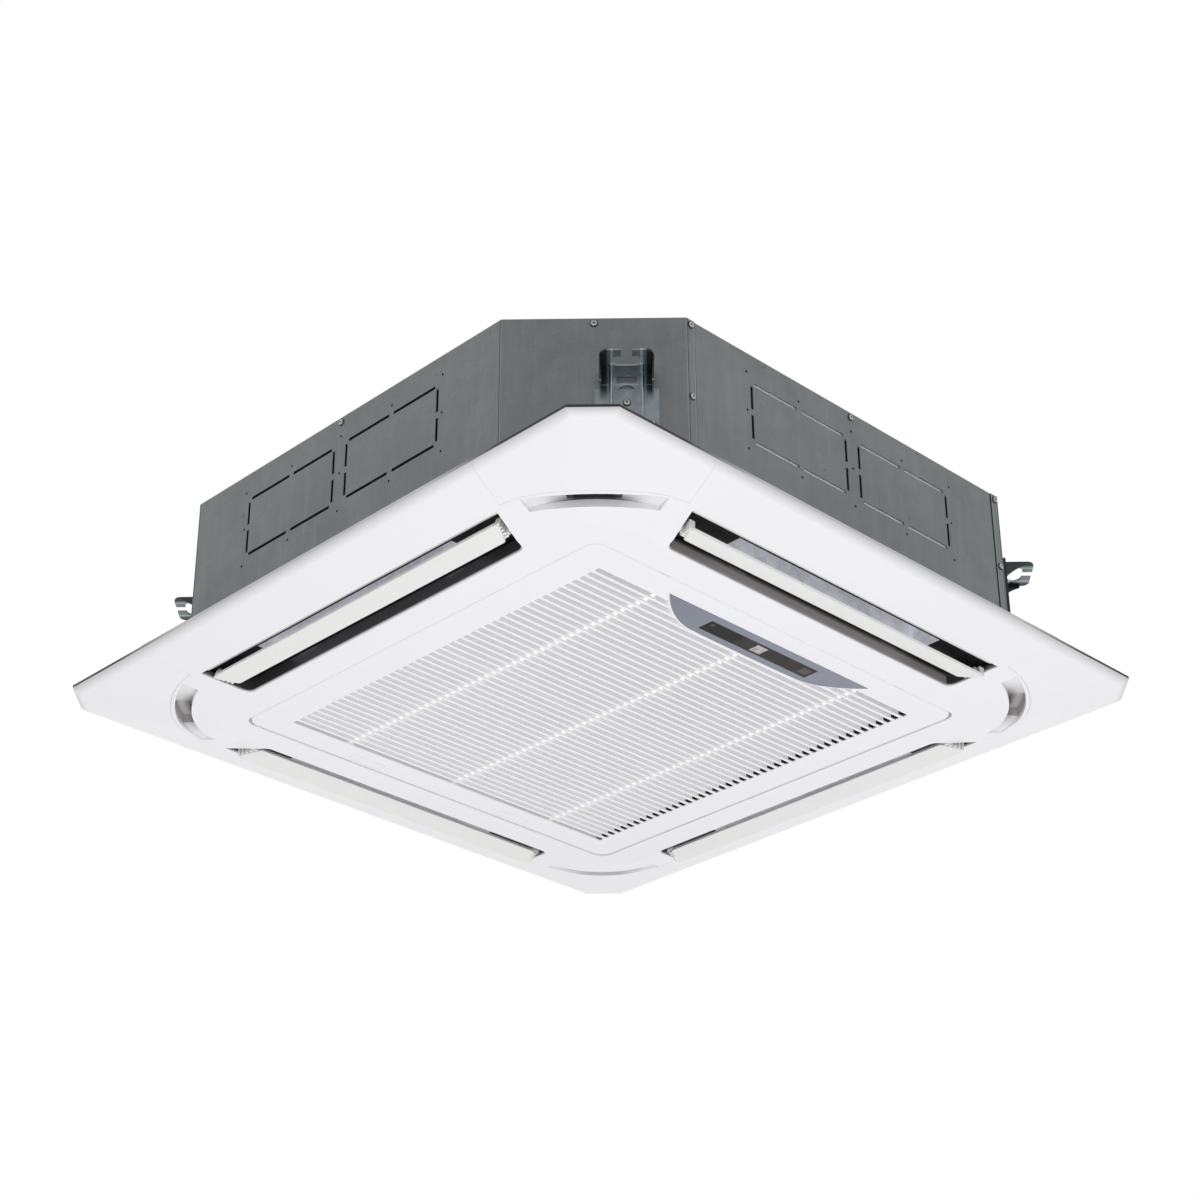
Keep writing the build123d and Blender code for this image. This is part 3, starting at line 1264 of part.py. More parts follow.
def filter_windows():
    half = FILTER_HALF - FILTER_EDGE
    cell = (2 * half - FILTER_BARS * FILTER_BAR_W) / (FILTER_BARS + 1)
    step = cell + FILTER_BAR_W
    steps = [-half + cell / 2 + i * step for i in range(FILTER_BARS + 1)]
    return Sketch(children=[Pos(x, y) * Rectangle(cell, cell) for x in steps for y in steps])


def filter_net():
    """The woven net, as sheets that fill the frame's windows."""
    z = GRILLE_TOP + SLIDE_GAP + FILTER_T / 2
    return extrude(Pos(0, 0, z - NET_T / 2) * filter_windows(), NET_T)


# ---- display

def display_bezel():
    bezel = prism(bezel_outline(), PLATEAU_Z - BEZEL_PROUD, PLATEAU_Z - BEZEL_PROUD + BEZEL_T - SLIDE_GAP)
    return bezel - window_block(SLIDE_GAP, BEZEL_T)


def window_block(grow, thickness):
    (x0, x1), (y0, y1) = WINDOW_X, WINDOW_Y
    low = PLATEAU_Z - BEZEL_PROUD - WINDOW_PROUD
    return block((x0 - grow, x1 + grow), (y0 - grow, y1 + grow), (low, low + thickness + WINDOW_PROUD))


def display_window():
    """The dark window, with wells for the lamps and the button."""
    window = window_block(0.0, BEZEL_T - SLIDE_GAP)
    low, high = PLATEAU_Z - BEZEL_T, PLATEAU_Z + BEZEL_T
    return window - [prism(shape, low, high) for shape in display_wells(SLIDE_GAP)]


def display_wells(grow):
    """The two lamps and the round button in plan, each with a margin."""
    y = sum(WINDOW_Y) / 2
    wells = []
    for (x, dy), (w, d) in ((LAMP_AT, LAMP_SIZE), (LAMP2_AT, LAMP2_SIZE)):
        wells.append(Pos(x, y + dy) * Rectangle(w + 2 * grow, d + 2 * grow))
    wells.append(Pos(BUTTON_AT[0], y + BUTTON_AT[1]) * Circle(BUTTON_R + grow))
    return wells


def display_lamps():
    low = PLATEAU_Z - BEZEL_PROUD - WINDOW_PROUD / 2
    return [prism(shape, low, low + BEZEL_T - SLIDE_GAP) for shape in display_wells(0.0)]


# ---- everything together

def all_nodes():
    nodes = {"top_plate": top_plate(), **side_sheets(), "liner": liner(), **hangers()}
    nodes["casing_screws"] = [screw(place) for place in casing_screws()]
    nodes["hanger_screws"] = [screw(place) for place in hanger_screws()]
    nodes["pipe_plate"] = pipe_plate()
    nodes["gas_pipe"] = pipe(GAS_R, GAS_S, GAS_Z, GAS_LOW, GAS_FEEDER_X, GAS_NUT_L)
    nodes["gas_nut"] = flare_nut(GAS_R, GAS_MOUTH_R, GAS_NUT_AF, GAS_NUT_L, GAS_S, GAS_Z)
    liquid = pipe(LIQUID_R, LIQUID_S, LIQUID_Z, LIQUID_LOW, LIQUID_FEEDER_X, LIQUID_NUT_L)
    nodes["liquid_pipe"] = liquid
    mouth = LIQUID_MOUTH_R
    nodes["liquid_nut"] = flare_nut(LIQUID_R, mouth, LIQUID_NUT_AF, LIQUID_NUT_L, LIQUID_S, LIQUID_Z)
    nodes["drain_outlet"] = drain_outlet()
    nodes["cable_seal"] = cable_seal()
    nodes["motor_mount"] = motor_mount()
    nodes["motor_bushes"] = motor_bushes()
    nodes["fan_motor"] = fan_motor()
    nodes["motor_shaft"] = motor_shaft()
    nodes["fan_wheel"] = fan_wheel()
    nodes["fan_shroud"] = fan_shroud()
    nodes["fan_nut"] = fan_nut()
    nodes["coil_fins"] = coil_fins()
    nodes["coil_end_plates"] = coil_end_plates()
    nodes["coil_bends"] = coil_bends()
    nodes["drain_pan"] = drain_pan()
    nodes["inlet_ring"] = inlet_ring()
    nodes["control_box"] = control_box()
    nodes["control_cover"] = control_cover()
    nodes["terminal_block"] = terminal_block()
    nodes["drain_pump"] = drain_pump()
    nodes["pump_impeller"] = pump_impeller()
    nodes["float_stem"] = float_stem()
    nodes["float_ring"] = float_ring()
    nodes["panel_frame"] = panel_frame()
    nodes.update(corner_covers())
    nodes["panel_lugs"] = [at_corner(lug(), angle) for angle in CORNERS]
    nodes["panel_screws"] = [at_corner(panel_screw(), angle) for angle in CORNERS]
    nodes["panel_gasket"] = panel_gasket()
    for i, (angle, rest) in enumerate(zip(SIDES, LOUVRE_REST)):
        nodes[f"louvre_{i + 1}"] = turned(louvre(rest), angle)
    nodes["louvre_motors"] = [stepper(angle) for angle in SIDES]
    grille = intake_grille() - hinge_cuts(-HINGE_X) - hinge_cuts(HINGE_X)
    nodes["intake_grille"] = grille
    nodes["hinge_pins"] = hinge_pins()
    nodes["latch_left"] = latch(-LATCH_X)
    nodes["latch_right"] = latch(LATCH_X)
    nodes["filter_frame"] = filter_frame()
    nodes["filter_net"] = filter_net()
    nodes["display_bezel"] = display_bezel()
    nodes["display_window"] = display_window()
    nodes["display_lamps"] = display_lamps()
    return nodes


os.makedirs("parts", exist_ok=True)
for name, shape in all_nodes().items():
    solids = [s for piece in (shape if isinstance(shape, list) else [shape]) for s in piece.solids()]
    export_step(solids[0] if len(solids) == 1 else Compound(children=solids), f"parts/{name}.step")
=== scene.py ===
import math

import bpy
from mathutils import Matrix, Vector


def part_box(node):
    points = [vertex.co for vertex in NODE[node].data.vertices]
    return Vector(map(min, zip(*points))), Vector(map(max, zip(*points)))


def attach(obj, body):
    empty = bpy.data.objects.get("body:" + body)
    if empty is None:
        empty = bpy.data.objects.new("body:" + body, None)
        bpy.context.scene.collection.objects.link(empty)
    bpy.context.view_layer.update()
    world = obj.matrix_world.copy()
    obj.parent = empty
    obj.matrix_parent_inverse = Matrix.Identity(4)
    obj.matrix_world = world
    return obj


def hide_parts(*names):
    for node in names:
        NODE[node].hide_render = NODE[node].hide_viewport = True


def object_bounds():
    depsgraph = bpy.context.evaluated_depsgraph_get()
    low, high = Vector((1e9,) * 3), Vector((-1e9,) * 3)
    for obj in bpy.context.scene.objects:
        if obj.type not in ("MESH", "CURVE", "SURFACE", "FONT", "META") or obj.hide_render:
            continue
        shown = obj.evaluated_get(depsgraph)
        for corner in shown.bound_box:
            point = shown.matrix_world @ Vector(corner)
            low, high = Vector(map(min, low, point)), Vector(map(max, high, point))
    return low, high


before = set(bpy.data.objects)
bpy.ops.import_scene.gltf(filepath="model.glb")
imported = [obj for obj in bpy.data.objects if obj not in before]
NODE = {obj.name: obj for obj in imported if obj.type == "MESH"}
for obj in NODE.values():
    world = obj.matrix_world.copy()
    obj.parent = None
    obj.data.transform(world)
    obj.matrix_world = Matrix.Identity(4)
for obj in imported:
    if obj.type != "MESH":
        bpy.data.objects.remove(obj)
cad_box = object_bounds()

# ---- camera: it looks up at the near front left corner, from the place and with the lens of the
# photograph. The unit hangs with its panel down, so nothing stands on the floor below it.
eye = Vector((-1.9518, -1.9840, -1.3934))
forward = Vector((0.609316, 0.630916, 0.480291))
right = Vector((0.719552, -0.694439, -0.000629))
above = right.cross(forward)
lens = bpy.data.cameras.new("camera")
lens.lens = 75.82
lens.sensor_width = 36.0
lens.sensor_fit = "HORIZONTAL"
lens.shift_x = 0.0180
lens.shift_y = -0.0021
lens.clip_end = 60.0
camera = bpy.data.objects.new("camera", lens)
camera.matrix_world = Matrix.Translation(eye) @ Matrix((right, above, -forward)).transposed().to_4x4()
bpy.context.collection.objects.link(camera)
bpy.context.scene.camera = camera


# ---- room: a white wall behind the unit, as the camera sees it, and a dimmer room on the other sides.
bpy.context.scene.view_settings.view_transform = "Standard"
wall_direction = (0.70, 0.71, 0.0)
wall_brightness, room_brightness = 1.0, 0.66
room = bpy.data.worlds.new("room")
room.use_nodes = True
wall = room.node_tree.nodes["Background"]
wall.inputs["Color"].default_value = (1.0, 1.0, 1.0, 1.0)
way_out = room.node_tree.nodes.new("ShaderNodeTexCoord")
facing_wall = room.node_tree.nodes.new("ShaderNodeVectorMath")
facing_wall.operation = "DOT_PRODUCT"
facing_wall.inputs[1].default_value = wall_direction
brightness = room.node_tree.nodes.new("ShaderNodeMapRange")
brightness.inputs["From Min"].default_value = -0.1
brightness.inputs["From Max"].default_value = 0.62
brightness.inputs["To Min"].default_value = room_brightness
brightness.inputs["To Max"].default_value = wall_brightness
room.node_tree.links.new(way_out.outputs["Generated"], facing_wall.inputs[0])
room.node_tree.links.new(facing_wall.outputs["Value"], brightness.inputs["Value"])
room.node_tree.links.new(brightness.outputs["Result"], wall.inputs["Strength"])
bpy.context.scene.world = room


# ---- light: one large soft panel below and a little in front, which faces the unit's underside.
light_place = Vector((-0.50, -0.80, -2.85))
lamp = bpy.data.lights.new("light_below", "AREA")
lamp.shape = "SQUARE"
lamp.size = 2.6
lamp.energy = 45.0
light_below = bpy.data.objects.new("light_below", lamp)
towards_unit = (-light_place).to_track_quat("-Z", "Y").to_matrix().to_4x4()
light_below.matrix_world = Matrix.Translation(light_place) @ towards_unit
bpy.context.collection.objects.link(light_below)


# ---- floor: a plain pale board a good way below the unit
floor_size, floor_level = 24.0, -3.1
bpy.ops.object.select_all(action="DESELECT")
bpy.ops.mesh.primitive_plane_add(size=floor_size, location=(0, 0, floor_level))
floor = bpy.context.object
floor.name = "floor"
floor_paint = bpy.data.materials.new("floor_paint")
floor_paint.use_nodes = True
floor_paint.node_tree.nodes["Principled BSDF"].inputs["Base Color"].default_value = (0.86, 0.86, 0.86, 1)
floor_paint.node_tree.nodes["Principled BSDF"].inputs["Roughness"].default_value = 0.9
floor.data.materials.append(floor_paint)


# ---- casing: galvanised steel sheet, 1 mm thick, folded at the corners and screwed where it laps.
# The zinc shows faint spangle, upright rolling streaks and a few rusty specks. Each fold carries a patchy
# painted highlight with a thin line of painted shade beside it, and each lap a thin painted shadow line
# with a painted highlight on its edge.
class Surface:
    """A material in the making: its node tree, with short calls to add and join nodes."""

    COS_45 = 0.70711

    def __init__(self, name, colour, roughness, metallic=0.0):
        self.material = bpy.data.materials.new(name)
        self.material.use_nodes = True
        self.tree = self.material.node_tree
        self.shader = self.tree.nodes["Principled BSDF"]
        self.shader.inputs["Base Color"].default_value = (*colour, 1)
        self.shader.inputs["Roughness"].default_value = roughness
        self.shader.inputs["Metallic"].default_value = metallic
        self.place = self.add("TexCoord").outputs["Object"]

    def add(self, kind, **values):
        node = self.tree.nodes.new("ShaderNode" + kind)
        for key, value in values.items():
            setattr(node, key, value)
        return node

    def join(self, source, target):
        self.tree.links.new(source, target)

    def noise(self, scale, detail=2.0, rough=0.5, stretch=None):
        node = self.add("TexNoise")
        node.inputs["Scale"].default_value = scale
        node.inputs["Detail"].default_value = detail
        node.inputs["Roughness"].default_value = rough
        self.join(self.stretched(stretch), node.inputs["Vector"])
        return node.outputs["Fac"]

    def cells(self, scale, output="Distance"):
        node = self.add("TexVoronoi")
        node.inputs["Scale"].default_value = scale
        self.join(self.place, node.inputs["Vector"])
        return node.outputs[output]

    def stretched(self, stretch):
        if stretch is None:
            return self.place
        node = self.add("Mapping")
        node.inputs["Scale"].default_value = stretch
        self.join(self.place, node.inputs["Vector"])
        return node.outputs["Vector"]

    def axis(self, letter):
        node = self.add("SeparateXYZ")
        self.join(self.place, node.inputs["Vector"])
        return node.outputs[letter]

    def calc(self, kind, first, second=0.0):
        node = self.add("Math", operation=kind)
        for socket, value in zip(node.inputs, (first, second)):
            if isinstance(value, (int, float)):
                socket.default_value = value
            else:
                self.join(value, socket)
        return node.outputs["Value"]

    def ramp(self, value, low, high, start=0.0, end=1.0):
        """Runs from start to end while the value runs from low to high, and stays level past them."""
        node = self.add("MapRange", clamp=True)
        node.inputs["From Min"].default_value = low
        node.inputs["From Max"].default_value = high
        node.inputs["To Min"].default_value = start
        node.inputs["To Max"].default_value = end
        self.join(value, node.inputs["Value"])
        return node.outputs["Result"]

    def within(self, value, low, high, soft=0.0002):
        """One between two limits, with a soft edge."""
        rise = self.ramp(value, low - soft, low + soft)
        return self.both(rise, self.ramp(value, high - soft, high + soft, 1.0, 0.0))

    def both(self, first, second):
        return self.calc("MULTIPLY", first, second)

    def either(self, first, second):
        return self.calc("MAXIMUM", first, second)

    def span(self, letter):
        return self.calc("ABSOLUTE", self.axis(letter))

    def reach(self):
        """The distance from the axis as a square sees it: the larger of |x| and |y|."""
        return self.calc("MAXIMUM", self.span("X"), self.span("Y"))

    def along(self):
        """How far along its side a point is: the smaller of |x| and |y|."""
        return self.calc("MINIMUM", self.span("X"), self.span("Y"))

    def diagonal(self):
        """The distance from the axis towards the nearest corner."""
        return self.both(self.calc("ADD", self.span("X"), self.span("Y")), self.COS_45)

    def off_diagonal(self):
        """The distance to either side of the line from the axis to the nearest corner."""
        return self.both(self.calc("SUBTRACT", self.reach(), self.along()), self.COS_45)

    def outside(self, side, corner):
        """One beyond these distances from the axis, and nothing within them."""
        beyond_side = self.calc("GREATER_THAN", self.reach(), side)
        return self.either(beyond_side, self.calc("GREATER_THAN", self.diagonal(), corner))

    def tint(self, amount, colour):
        """Lays another colour over the base, as much as amount says."""
        node = self.add("Mix", data_type="RGBA")
        base = self.shader.inputs["Base Color"]
        if base.links:
            self.join(base.links[0].from_socket, node.inputs[6])
        else:
            node.inputs[6].default_value = base.default_value
        node.inputs[7].default_value = (*colour, 1)
        self.join(amount, node.inputs[0])
        self.join(node.outputs[2], base)

    def glow(self, strength, colour):
        self.shader.inputs["Emission Color"].default_value = (*colour, 1)
        self.join(strength, self.shader.inputs["Emission Strength"])

    def roughen(self, value, low, high):
        self.join(self.ramp(value, 0.0, 1.0, low, high), self.shader.inputs["Roughness"])

    def bump(self, value, depth, strength=1.0):
        """Adds relief, in metres of depth, on top of what is there."""
        node = self.add("Bump")
        node.inputs["Strength"].default_value = strength
        node.inputs["Distance"].default_value = depth
        self.join(value, node.inputs["Height"])
        normal = self.shader.inputs["Normal"]
        if normal.links:
            self.join(normal.links[0].from_socket, node.inputs["Normal"])
        self.join(node.outputs["Normal"], normal)

    def dress(self, *names):
        for name in names:
            mesh = NODE[name].data
            mesh.materials.clear()
            mesh.materials.append(self.material)


body_half = -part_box("side_sheet_left")[0][0]
corner_cut, lap_width = 0.1440, 0.0125
body_corner = (2 * body_half - corner_cut) * Surface.COS_45
fold = body_half - corner_cut
lap_edge = fold - lap_width
zinc = Surface("zinc_sheet", (0.225, 0.240, 0.246), 0.42, 0.72)
zinc.tint(zinc.ramp(zinc.cells(55.0, "Color"), 0.2, 0.9, 0.0, 0.22), (0.30, 0.315, 0.32))
zinc.tint(zinc.ramp(zinc.noise(9.0, 4.0, 0.6), 0.42, 0.72, 0.0, 0.5), (0.165, 0.178, 0.182))
streaks = zinc.noise(60.0, 4.0, 0.65, (1.0, 1.0, 0.12))
zinc.tint(zinc.ramp(streaks, 0.5, 0.75, 0.0, 0.35), (0.31, 0.325, 0.33))
zinc.tint(zinc.ramp(zinc.noise(420.0, 3.0, 0.7), 0.5, 0.8, 0.0, 0.35), (0.12, 0.127, 0.128))
rust = zinc.ramp(zinc.noise(75.0, 3.0, 0.6), 0.68, 0.76, 0.0, 0.6)
zinc.tint(rust, (0.15, 0.115, 0.08))
skin = zinc.outside(body_half - 0.0022, body_corner - 0.00075)
side_run = zinc.along()
# Painted highlight along each fold, in patches, and a thin line of painted shade beside it.
highlight_patches = zinc.both(skin, zinc.ramp(zinc.noise(14.0, 3.0), 0.3, 0.7, 0.35, 1.0))
fold_highlight = zinc.within(side_run, fold - 0.0008, fold + 0.0006, 0.0005)
zinc.tint(zinc.both(highlight_patches, fold_highlight), (0.30, 0.32, 0.33))
fold_shade = zinc.within(side_run, fold - 0.0022, fold - 0.0011, 0.0004)
zinc.tint(zinc.both(skin, fold_shade), (0.045, 0.047, 0.05))
# Painted shadow in a thin line beside each lap, and a painted highlight on the lap's edge.
lapped = zinc.both(skin, zinc.calc("GREATER_THAN", zinc.span("Y"), body_half - 0.02))
lap_run = zinc.span("X")
lap_shadow = zinc.within(lap_run, lap_edge - 0.0017, lap_edge - 0.0001, 0.0003)
zinc.tint(zinc.both(lapped, lap_shadow), (0.03, 0.032, 0.034))
lap_highlight = zinc.within(lap_run, lap_edge + 0.0002, lap_edge + 0.0011, 0.0003)
zinc.tint(zinc.both(lapped, lap_highlight), (0.36, 0.38, 0.39))
zinc.roughen(zinc.noise(30.0, 4.0, 0.6), 0.34, 0.52)
zinc.bump(zinc.noise(500.0, 3.0), 0.00003)
zinc.bump(zinc.noise(4.0, 2.0), 0.004, 0.5)
zinc.dress("top_plate", "side_sheet_left", "side_sheet_right", "side_sheet_front", "side_sheet_rear")


# ---- brackets and boxes: thicker galvanised sheet, folded, brighter than the casing and blotched
# where the zinc ran. They are screwed or riveted to the casing and the panel.
def galvanised(name, colour, roughness, metallic, dull):
    surface = Surface(name, colour, roughness, metallic)
    surface.tint(surface.ramp(surface.noise(60.0, 4.0, 0.6), 0.4, 0.7, 0.0, 0.5), dull)
    surface.roughen(surface.noise(120.0, 3.0, 0.6), 0.2, 0.4)
    surface.bump(surface.noise(25.0, 2.0), 0.003, 0.5)
    return surface


bracket_zinc = galvanised("bracket_zinc", (0.215, 0.24, 0.255), 0.3, 0.88, (0.12, 0.135, 0.145))
bracket_zinc.dress("panel_lugs", "pipe_plate", "control_box", "control_cover")
bracket_zinc.dress("coil_end_plates", "motor_mount")

# ---- hangers: 2 mm galvanised sheet, pressed and folded, one on each corner face. The ridges and the
# crease carry painted highlights, and the hollows beside them painted dark shade.
hook_off_line = 0.035355
ear_top, ear_side = (0.117, 0.120), (0.0290, 0.0297)
cheek_side, cheek_foot = (0.0198, 0.0225), (0.100, 0.116)
ridge_side, ridge_foot = (0.0150, 0.0172), (0.070, 0.115)
crease_levels = (0.1216, 0.1226)
hook_zinc = galvanised("hanger_zinc", (0.30, 0.34, 0.36), 0.28, 0.85, (0.15, 0.17, 0.18))
height = hook_zinc.axis("Z")
off_middle = hook_zinc.calc("ABSOLUTE", hook_zinc.calc("SUBTRACT", hook_zinc.off_diagonal(), hook_off_line))
within_ears = hook_zinc.ramp(off_middle, *ear_side, 1.0, 0.0)
clear_of_ears = hook_zinc.either(hook_zinc.ramp(height, *ear_top), within_ears)
# Painted dark shade on the cheeks, and painted highlights on the ridges and the crease.
cheek_shade = hook_zinc.both(hook_zinc.ramp(off_middle, *cheek_side), hook_zinc.ramp(height, *cheek_foot))
cheek_shade = hook_zinc.both(cheek_shade, clear_of_ears)
hook_zinc.tint(hook_zinc.both(cheek_shade, 0.9), (0.035, 0.042, 0.047))
ridge_highlight = hook_zinc.within(off_middle, *ridge_side, 0.0008)
hook_zinc.tint(hook_zinc.both(ridge_highlight, hook_zinc.ramp(height, *ridge_foot)), (0.62, 0.68, 0.71))
crease_highlight = hook_zinc.within(height, *crease_levels, 0.0004)
hook_zinc.tint(hook_zinc.both(crease_highlight, 0.7), (0.50, 0.56, 0.60))
hook_zinc.dress("hanger_1", "hanger_2", "hanger_3", "hanger_4")

# ---- screws in the casing and the hangers: zinc plated pan heads on a thin pressed washer, each
# with a cross recess, and a plain shank through the sheets. The recess and the washer are painted near
# black, as painted shade.
# The same plating is on the small turned pieces inside.
screw_zinc = Surface("screw_zinc", (0.66, 0.65, 0.64), 0.28, 0.75)
screw_zinc.tint(screw_zinc.ramp(screw_zinc.noise(300.0, 3.0), 0.4, 0.7, 0.0, 0.4), (0.34, 0.32, 0.30))
screw_zinc.roughen(screw_zinc.noise(400.0), 0.22, 0.42)
screw_zinc.dress("casing_screws", "hanger_screws", "panel_screws", "motor_shaft", "fan_nut", "hinge_pins")
# Painted shade: near black for the screw recesses and the washers.
screw_shade = Surface("screw_painted_shade", (0.020, 0.019, 0.018), 0.7)
screw_shade.bump(screw_shade.noise(900.0), 0.00005)


def solids_of(name):
    """The corner points of each separate solid in a CAD node, whose triangles are loose."""
    mesh = NODE[name].data
    first = {}
    group = [first.setdefault(tuple(round(c, 5) for c in v.co), i) for i, v in enumerate(mesh.vertices)]

    def root(i):
        while group[i] != i:
            group[i] = group[group[i]]
            i = group[i]
        return i

    for edge in mesh.edges:
        group[root(edge.vertices[0])] = root(edge.vertices[1])
    found = {}
    for i, vertex in enumerate(mesh.vertices):
        found.setdefault(root(i), []).append(vertex.co.copy())
    return list(found.values())


def joined(things, name):
    """Makes one object of several, with their places in its mesh."""
    bpy.ops.object.select_all(action="DESELECT")
    for thing in things:
        thing.select_set(True)
    bpy.context.view_layer.objects.active = things[0]
    bpy.ops.object.join()
    whole = bpy.context.object
    whole.name = name
    bpy.ops.object.transform_apply(location=True, rotation=True, scale=True)
    return whole


def select_face(thing, choose):
    """Leaves the object in edit mode with only one face selected, the one that choose gives."""
    bpy.ops.object.mode_set(mode="EDIT")
    bpy.ops.mesh.select_all(action="DESELECT")
    bpy.ops.mesh.select_mode(type="FACE")
    bpy.ops.object.mode_set(mode="OBJECT")
    choose(thing.data.polygons).select = True
    bpy.ops.object.mode_set(mode="EDIT")


def highest(faces):
    return max(faces, key=lambda face: (round(face.center.z, 7), face.area))


def middle_of_top(faces):
    top_level = highest(faces).center.z - 0.00005
    return min((face for face in faces if face.center.z > top_level), key=lambda face: face.center.xy.length)


head_radius, head_side, head_middle, head_height = 0.0034, 0.0012, 0.0010, 0.0022
washer_radius, washer_thickness = 0.0044, 0.0006
shank_radius, shank_length = 0.002, 0.003
recess_depth = 0.0011
turn_between_screws = 0.7
bpy.ops.object.select_all(action="DESELECT")
bpy.ops.mesh.primitive_cylinder_add(
    vertices=16, radius=head_radius, depth=head_side, location=(0, 0, head_middle))
pan_head = bpy.context.object
pan_head.data.materials.append(screw_zinc.material)
pan_head.data.materials.append(screw_shade.material)
bpy.ops.object.transform_apply(location=True, rotation=True, scale=True)
for narrower, higher in ((0.0003, 0.00035), (0.0003, 0.0002), (0.0004, 0.0)):
    select_face(pan_head, highest)
    bpy.ops.mesh.inset(thickness=narrower, depth=higher)
    bpy.ops.object.mode_set(mode="OBJECT")
for i in middle_of_top(pan_head.data.polygons).vertices:
    point = pan_head.data.vertices[i].co
    across_arm = abs(math.sin(2 * math.atan2(point.y, point.x)))
    pull = 1.0 if across_arm < 0.1 else 0.62 if across_arm < 0.8 else 0.34
    point.x, point.y = point.x * pull, point.y * pull
select_face(pan_head, middle_of_top)
bpy.ops.mesh.extrude_region_move(TRANSFORM_OT_translate={"value": (0, 0, -recess_depth)})
pan_head.active_material_index = 1
bpy.ops.object.material_slot_assign()
bpy.ops.object.mode_set(mode="OBJECT")
bpy.ops.mesh.primitive_cylinder_add(
    vertices=32, radius=washer_radius, depth=washer_thickness, location=(0, 0, washer_thickness / 2))
washer = bpy.context.object
washer.data.materials.append(screw_shade.material)
bpy.ops.mesh.primitive_cylinder_add(
    vertices=16, radius=shank_radius, depth=shank_length, location=(0, 0, -shank_length / 2))
shank = bpy.context.object
shank.data.materials.append(screw_zinc.material)
screw = joined([pan_head, washer, shank], "screw")
bpy.ops.object.shade_smooth_by_angle(angle=math.radians(35))
for node_name in ("casing_screws", "hanger_screws"):
    copies = []
    for points in solids_of(node_name):
        middle = sum(points, Vector()) / len(points)
        ways = [Vector((math.cos(i * math.pi / 4), math.sin(i * math.pi / 4), 0)) for i in range(4)]
        spans = [max(p @ way for p in points) - min(p @ way for p in points) for way in ways]
        way = ways[spans.index(min(spans))]
        way = way if way @ middle > 0 else -way
        under_head = max(p @ way for p in points) - head_height
        head = screw.copy()
        head.data = screw.data.copy()
        bpy.context.collection.objects.link(head)
        facing = way.to_track_quat("Z", "Y").to_matrix().to_4x4()
        spin = Matrix.Rotation(turn_between_screws * len(copies), 4, "Z")
        head.matrix_world = Matrix.Translation(middle + way * (under_head - middle @ way)) @ facing @ spin
        copies.append(head)
    screw_set = joined(copies, node_name.replace("screws", "screw_set"))
    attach(screw_set, "unit")
    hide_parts(node_name)
bpy.data.objects.remove(screw, do_unlink=True)


# ---- pipes: drawn copper with brass flare nuts, tarnished where they were brazed, and a moulded
# drain spout. The pipes leave by the rear right corner and the spout by the rear side.
def moulded(name, colour, roughness, grain, depth, metallic=0.0):
    """A plain plastic or paint with a fine even grain."""
    surface = Surface(name, colour, roughness, metallic)
    surface.bump(surface.noise(grain), depth)
    return surface


copper = Surface("copper", (0.55, 0.27, 0.17), 0.3, 1.0)
copper.tint(copper.ramp(copper.noise(70.0, 4.0, 0.6), 0.45, 0.7, 0.0, 0.6), (0.30, 0.15, 0.10))
copper.dress("gas_pipe", "liquid_pipe", "coil_bends")
nut_brass = Surface("nut_brass", (0.62, 0.46, 0.22), 0.28, 1.0)
nut_brass.roughen(nut_brass.noise(300.0), 0.2, 0.4)
nut_brass.dress("gas_nut", "liquid_nut")
moulded("drain_plastic", (0.70, 0.70, 0.69), 0.45, 600.0, 0.00005).dress("drain_outlet")

# ---- liner: white foam boards inside the casing, black on their outer faces. Behind the level slits of
# the front sheet's knockouts the boards are painted brighter than the foam, as painted light.
board_face, board_corner = body_half - 0.0040, body_corner - 0.00335
slit_levels, slit_half = (0.0960, 0.1730), 0.0035
foam = Surface("white_foam", (0.80, 0.80, 0.78), 0.9)
foam.bump(foam.cells(280.0), 0.0004, 0.6)
foam.tint(foam.outside(board_face, board_corner), (0.012, 0.012, 0.012))
# Painted light: the foam behind the front sheet's level slits, brighter than the foam itself.
slit_light = [foam.within(foam.axis("Z"), z - slit_half, z + slit_half) for z in slit_levels]
on_front = foam.calc("LESS_THAN", foam.axis("Y"), -board_face)
foam.tint(foam.both(foam.either(*slit_light), on_front), (0.93, 0.96, 1.0))
foam.dress("liner")

# ---- drain pan: foam in crumpled foil, black on its lower edge. The foil is seen up the outlets, and
# glows a little for the light that bounces about in the ducts.
pan_edge = -0.0163
foil = Surface("pan_foil", (0.80, 0.80, 0.85), 0.5, 0.15)
foil.tint(foil.ramp(foil.noise(28.0, 5.0, 0.65), 0.42, 0.62), (0.48, 0.48, 0.53))
foil.tint(foil.ramp(foil.axis("Z"), pan_edge - 0.00005, pan_edge, 1.0, 0.0), (0.012, 0.012, 0.013))
foil.glow(foil.ramp(foil.axis("Z"), pan_edge, pan_edge + 0.0005, 0.0, 0.26), (0.62, 0.62, 0.68))
foil.bump(foil.noise(60.0, 4.0, 0.6), 0.002)
foil.dress("drain_pan")

# ---- seals: a ring of soft black foam between the panel and the casing, and black rubber for the
# cable's grommet and the motor's bushes.
gasket_foam = Surface("gasket_foam", (0.03, 0.03, 0.032), 0.95)
gasket_foam.bump(gasket_foam.noise(900.0, 3.0), 0.0003)
gasket_foam.dress("panel_gasket")
moulded("black_rubber", (0.018, 0.018, 0.02), 0.6, 700.0, 0.0001).dress("cable_seal", "motor_bushes")

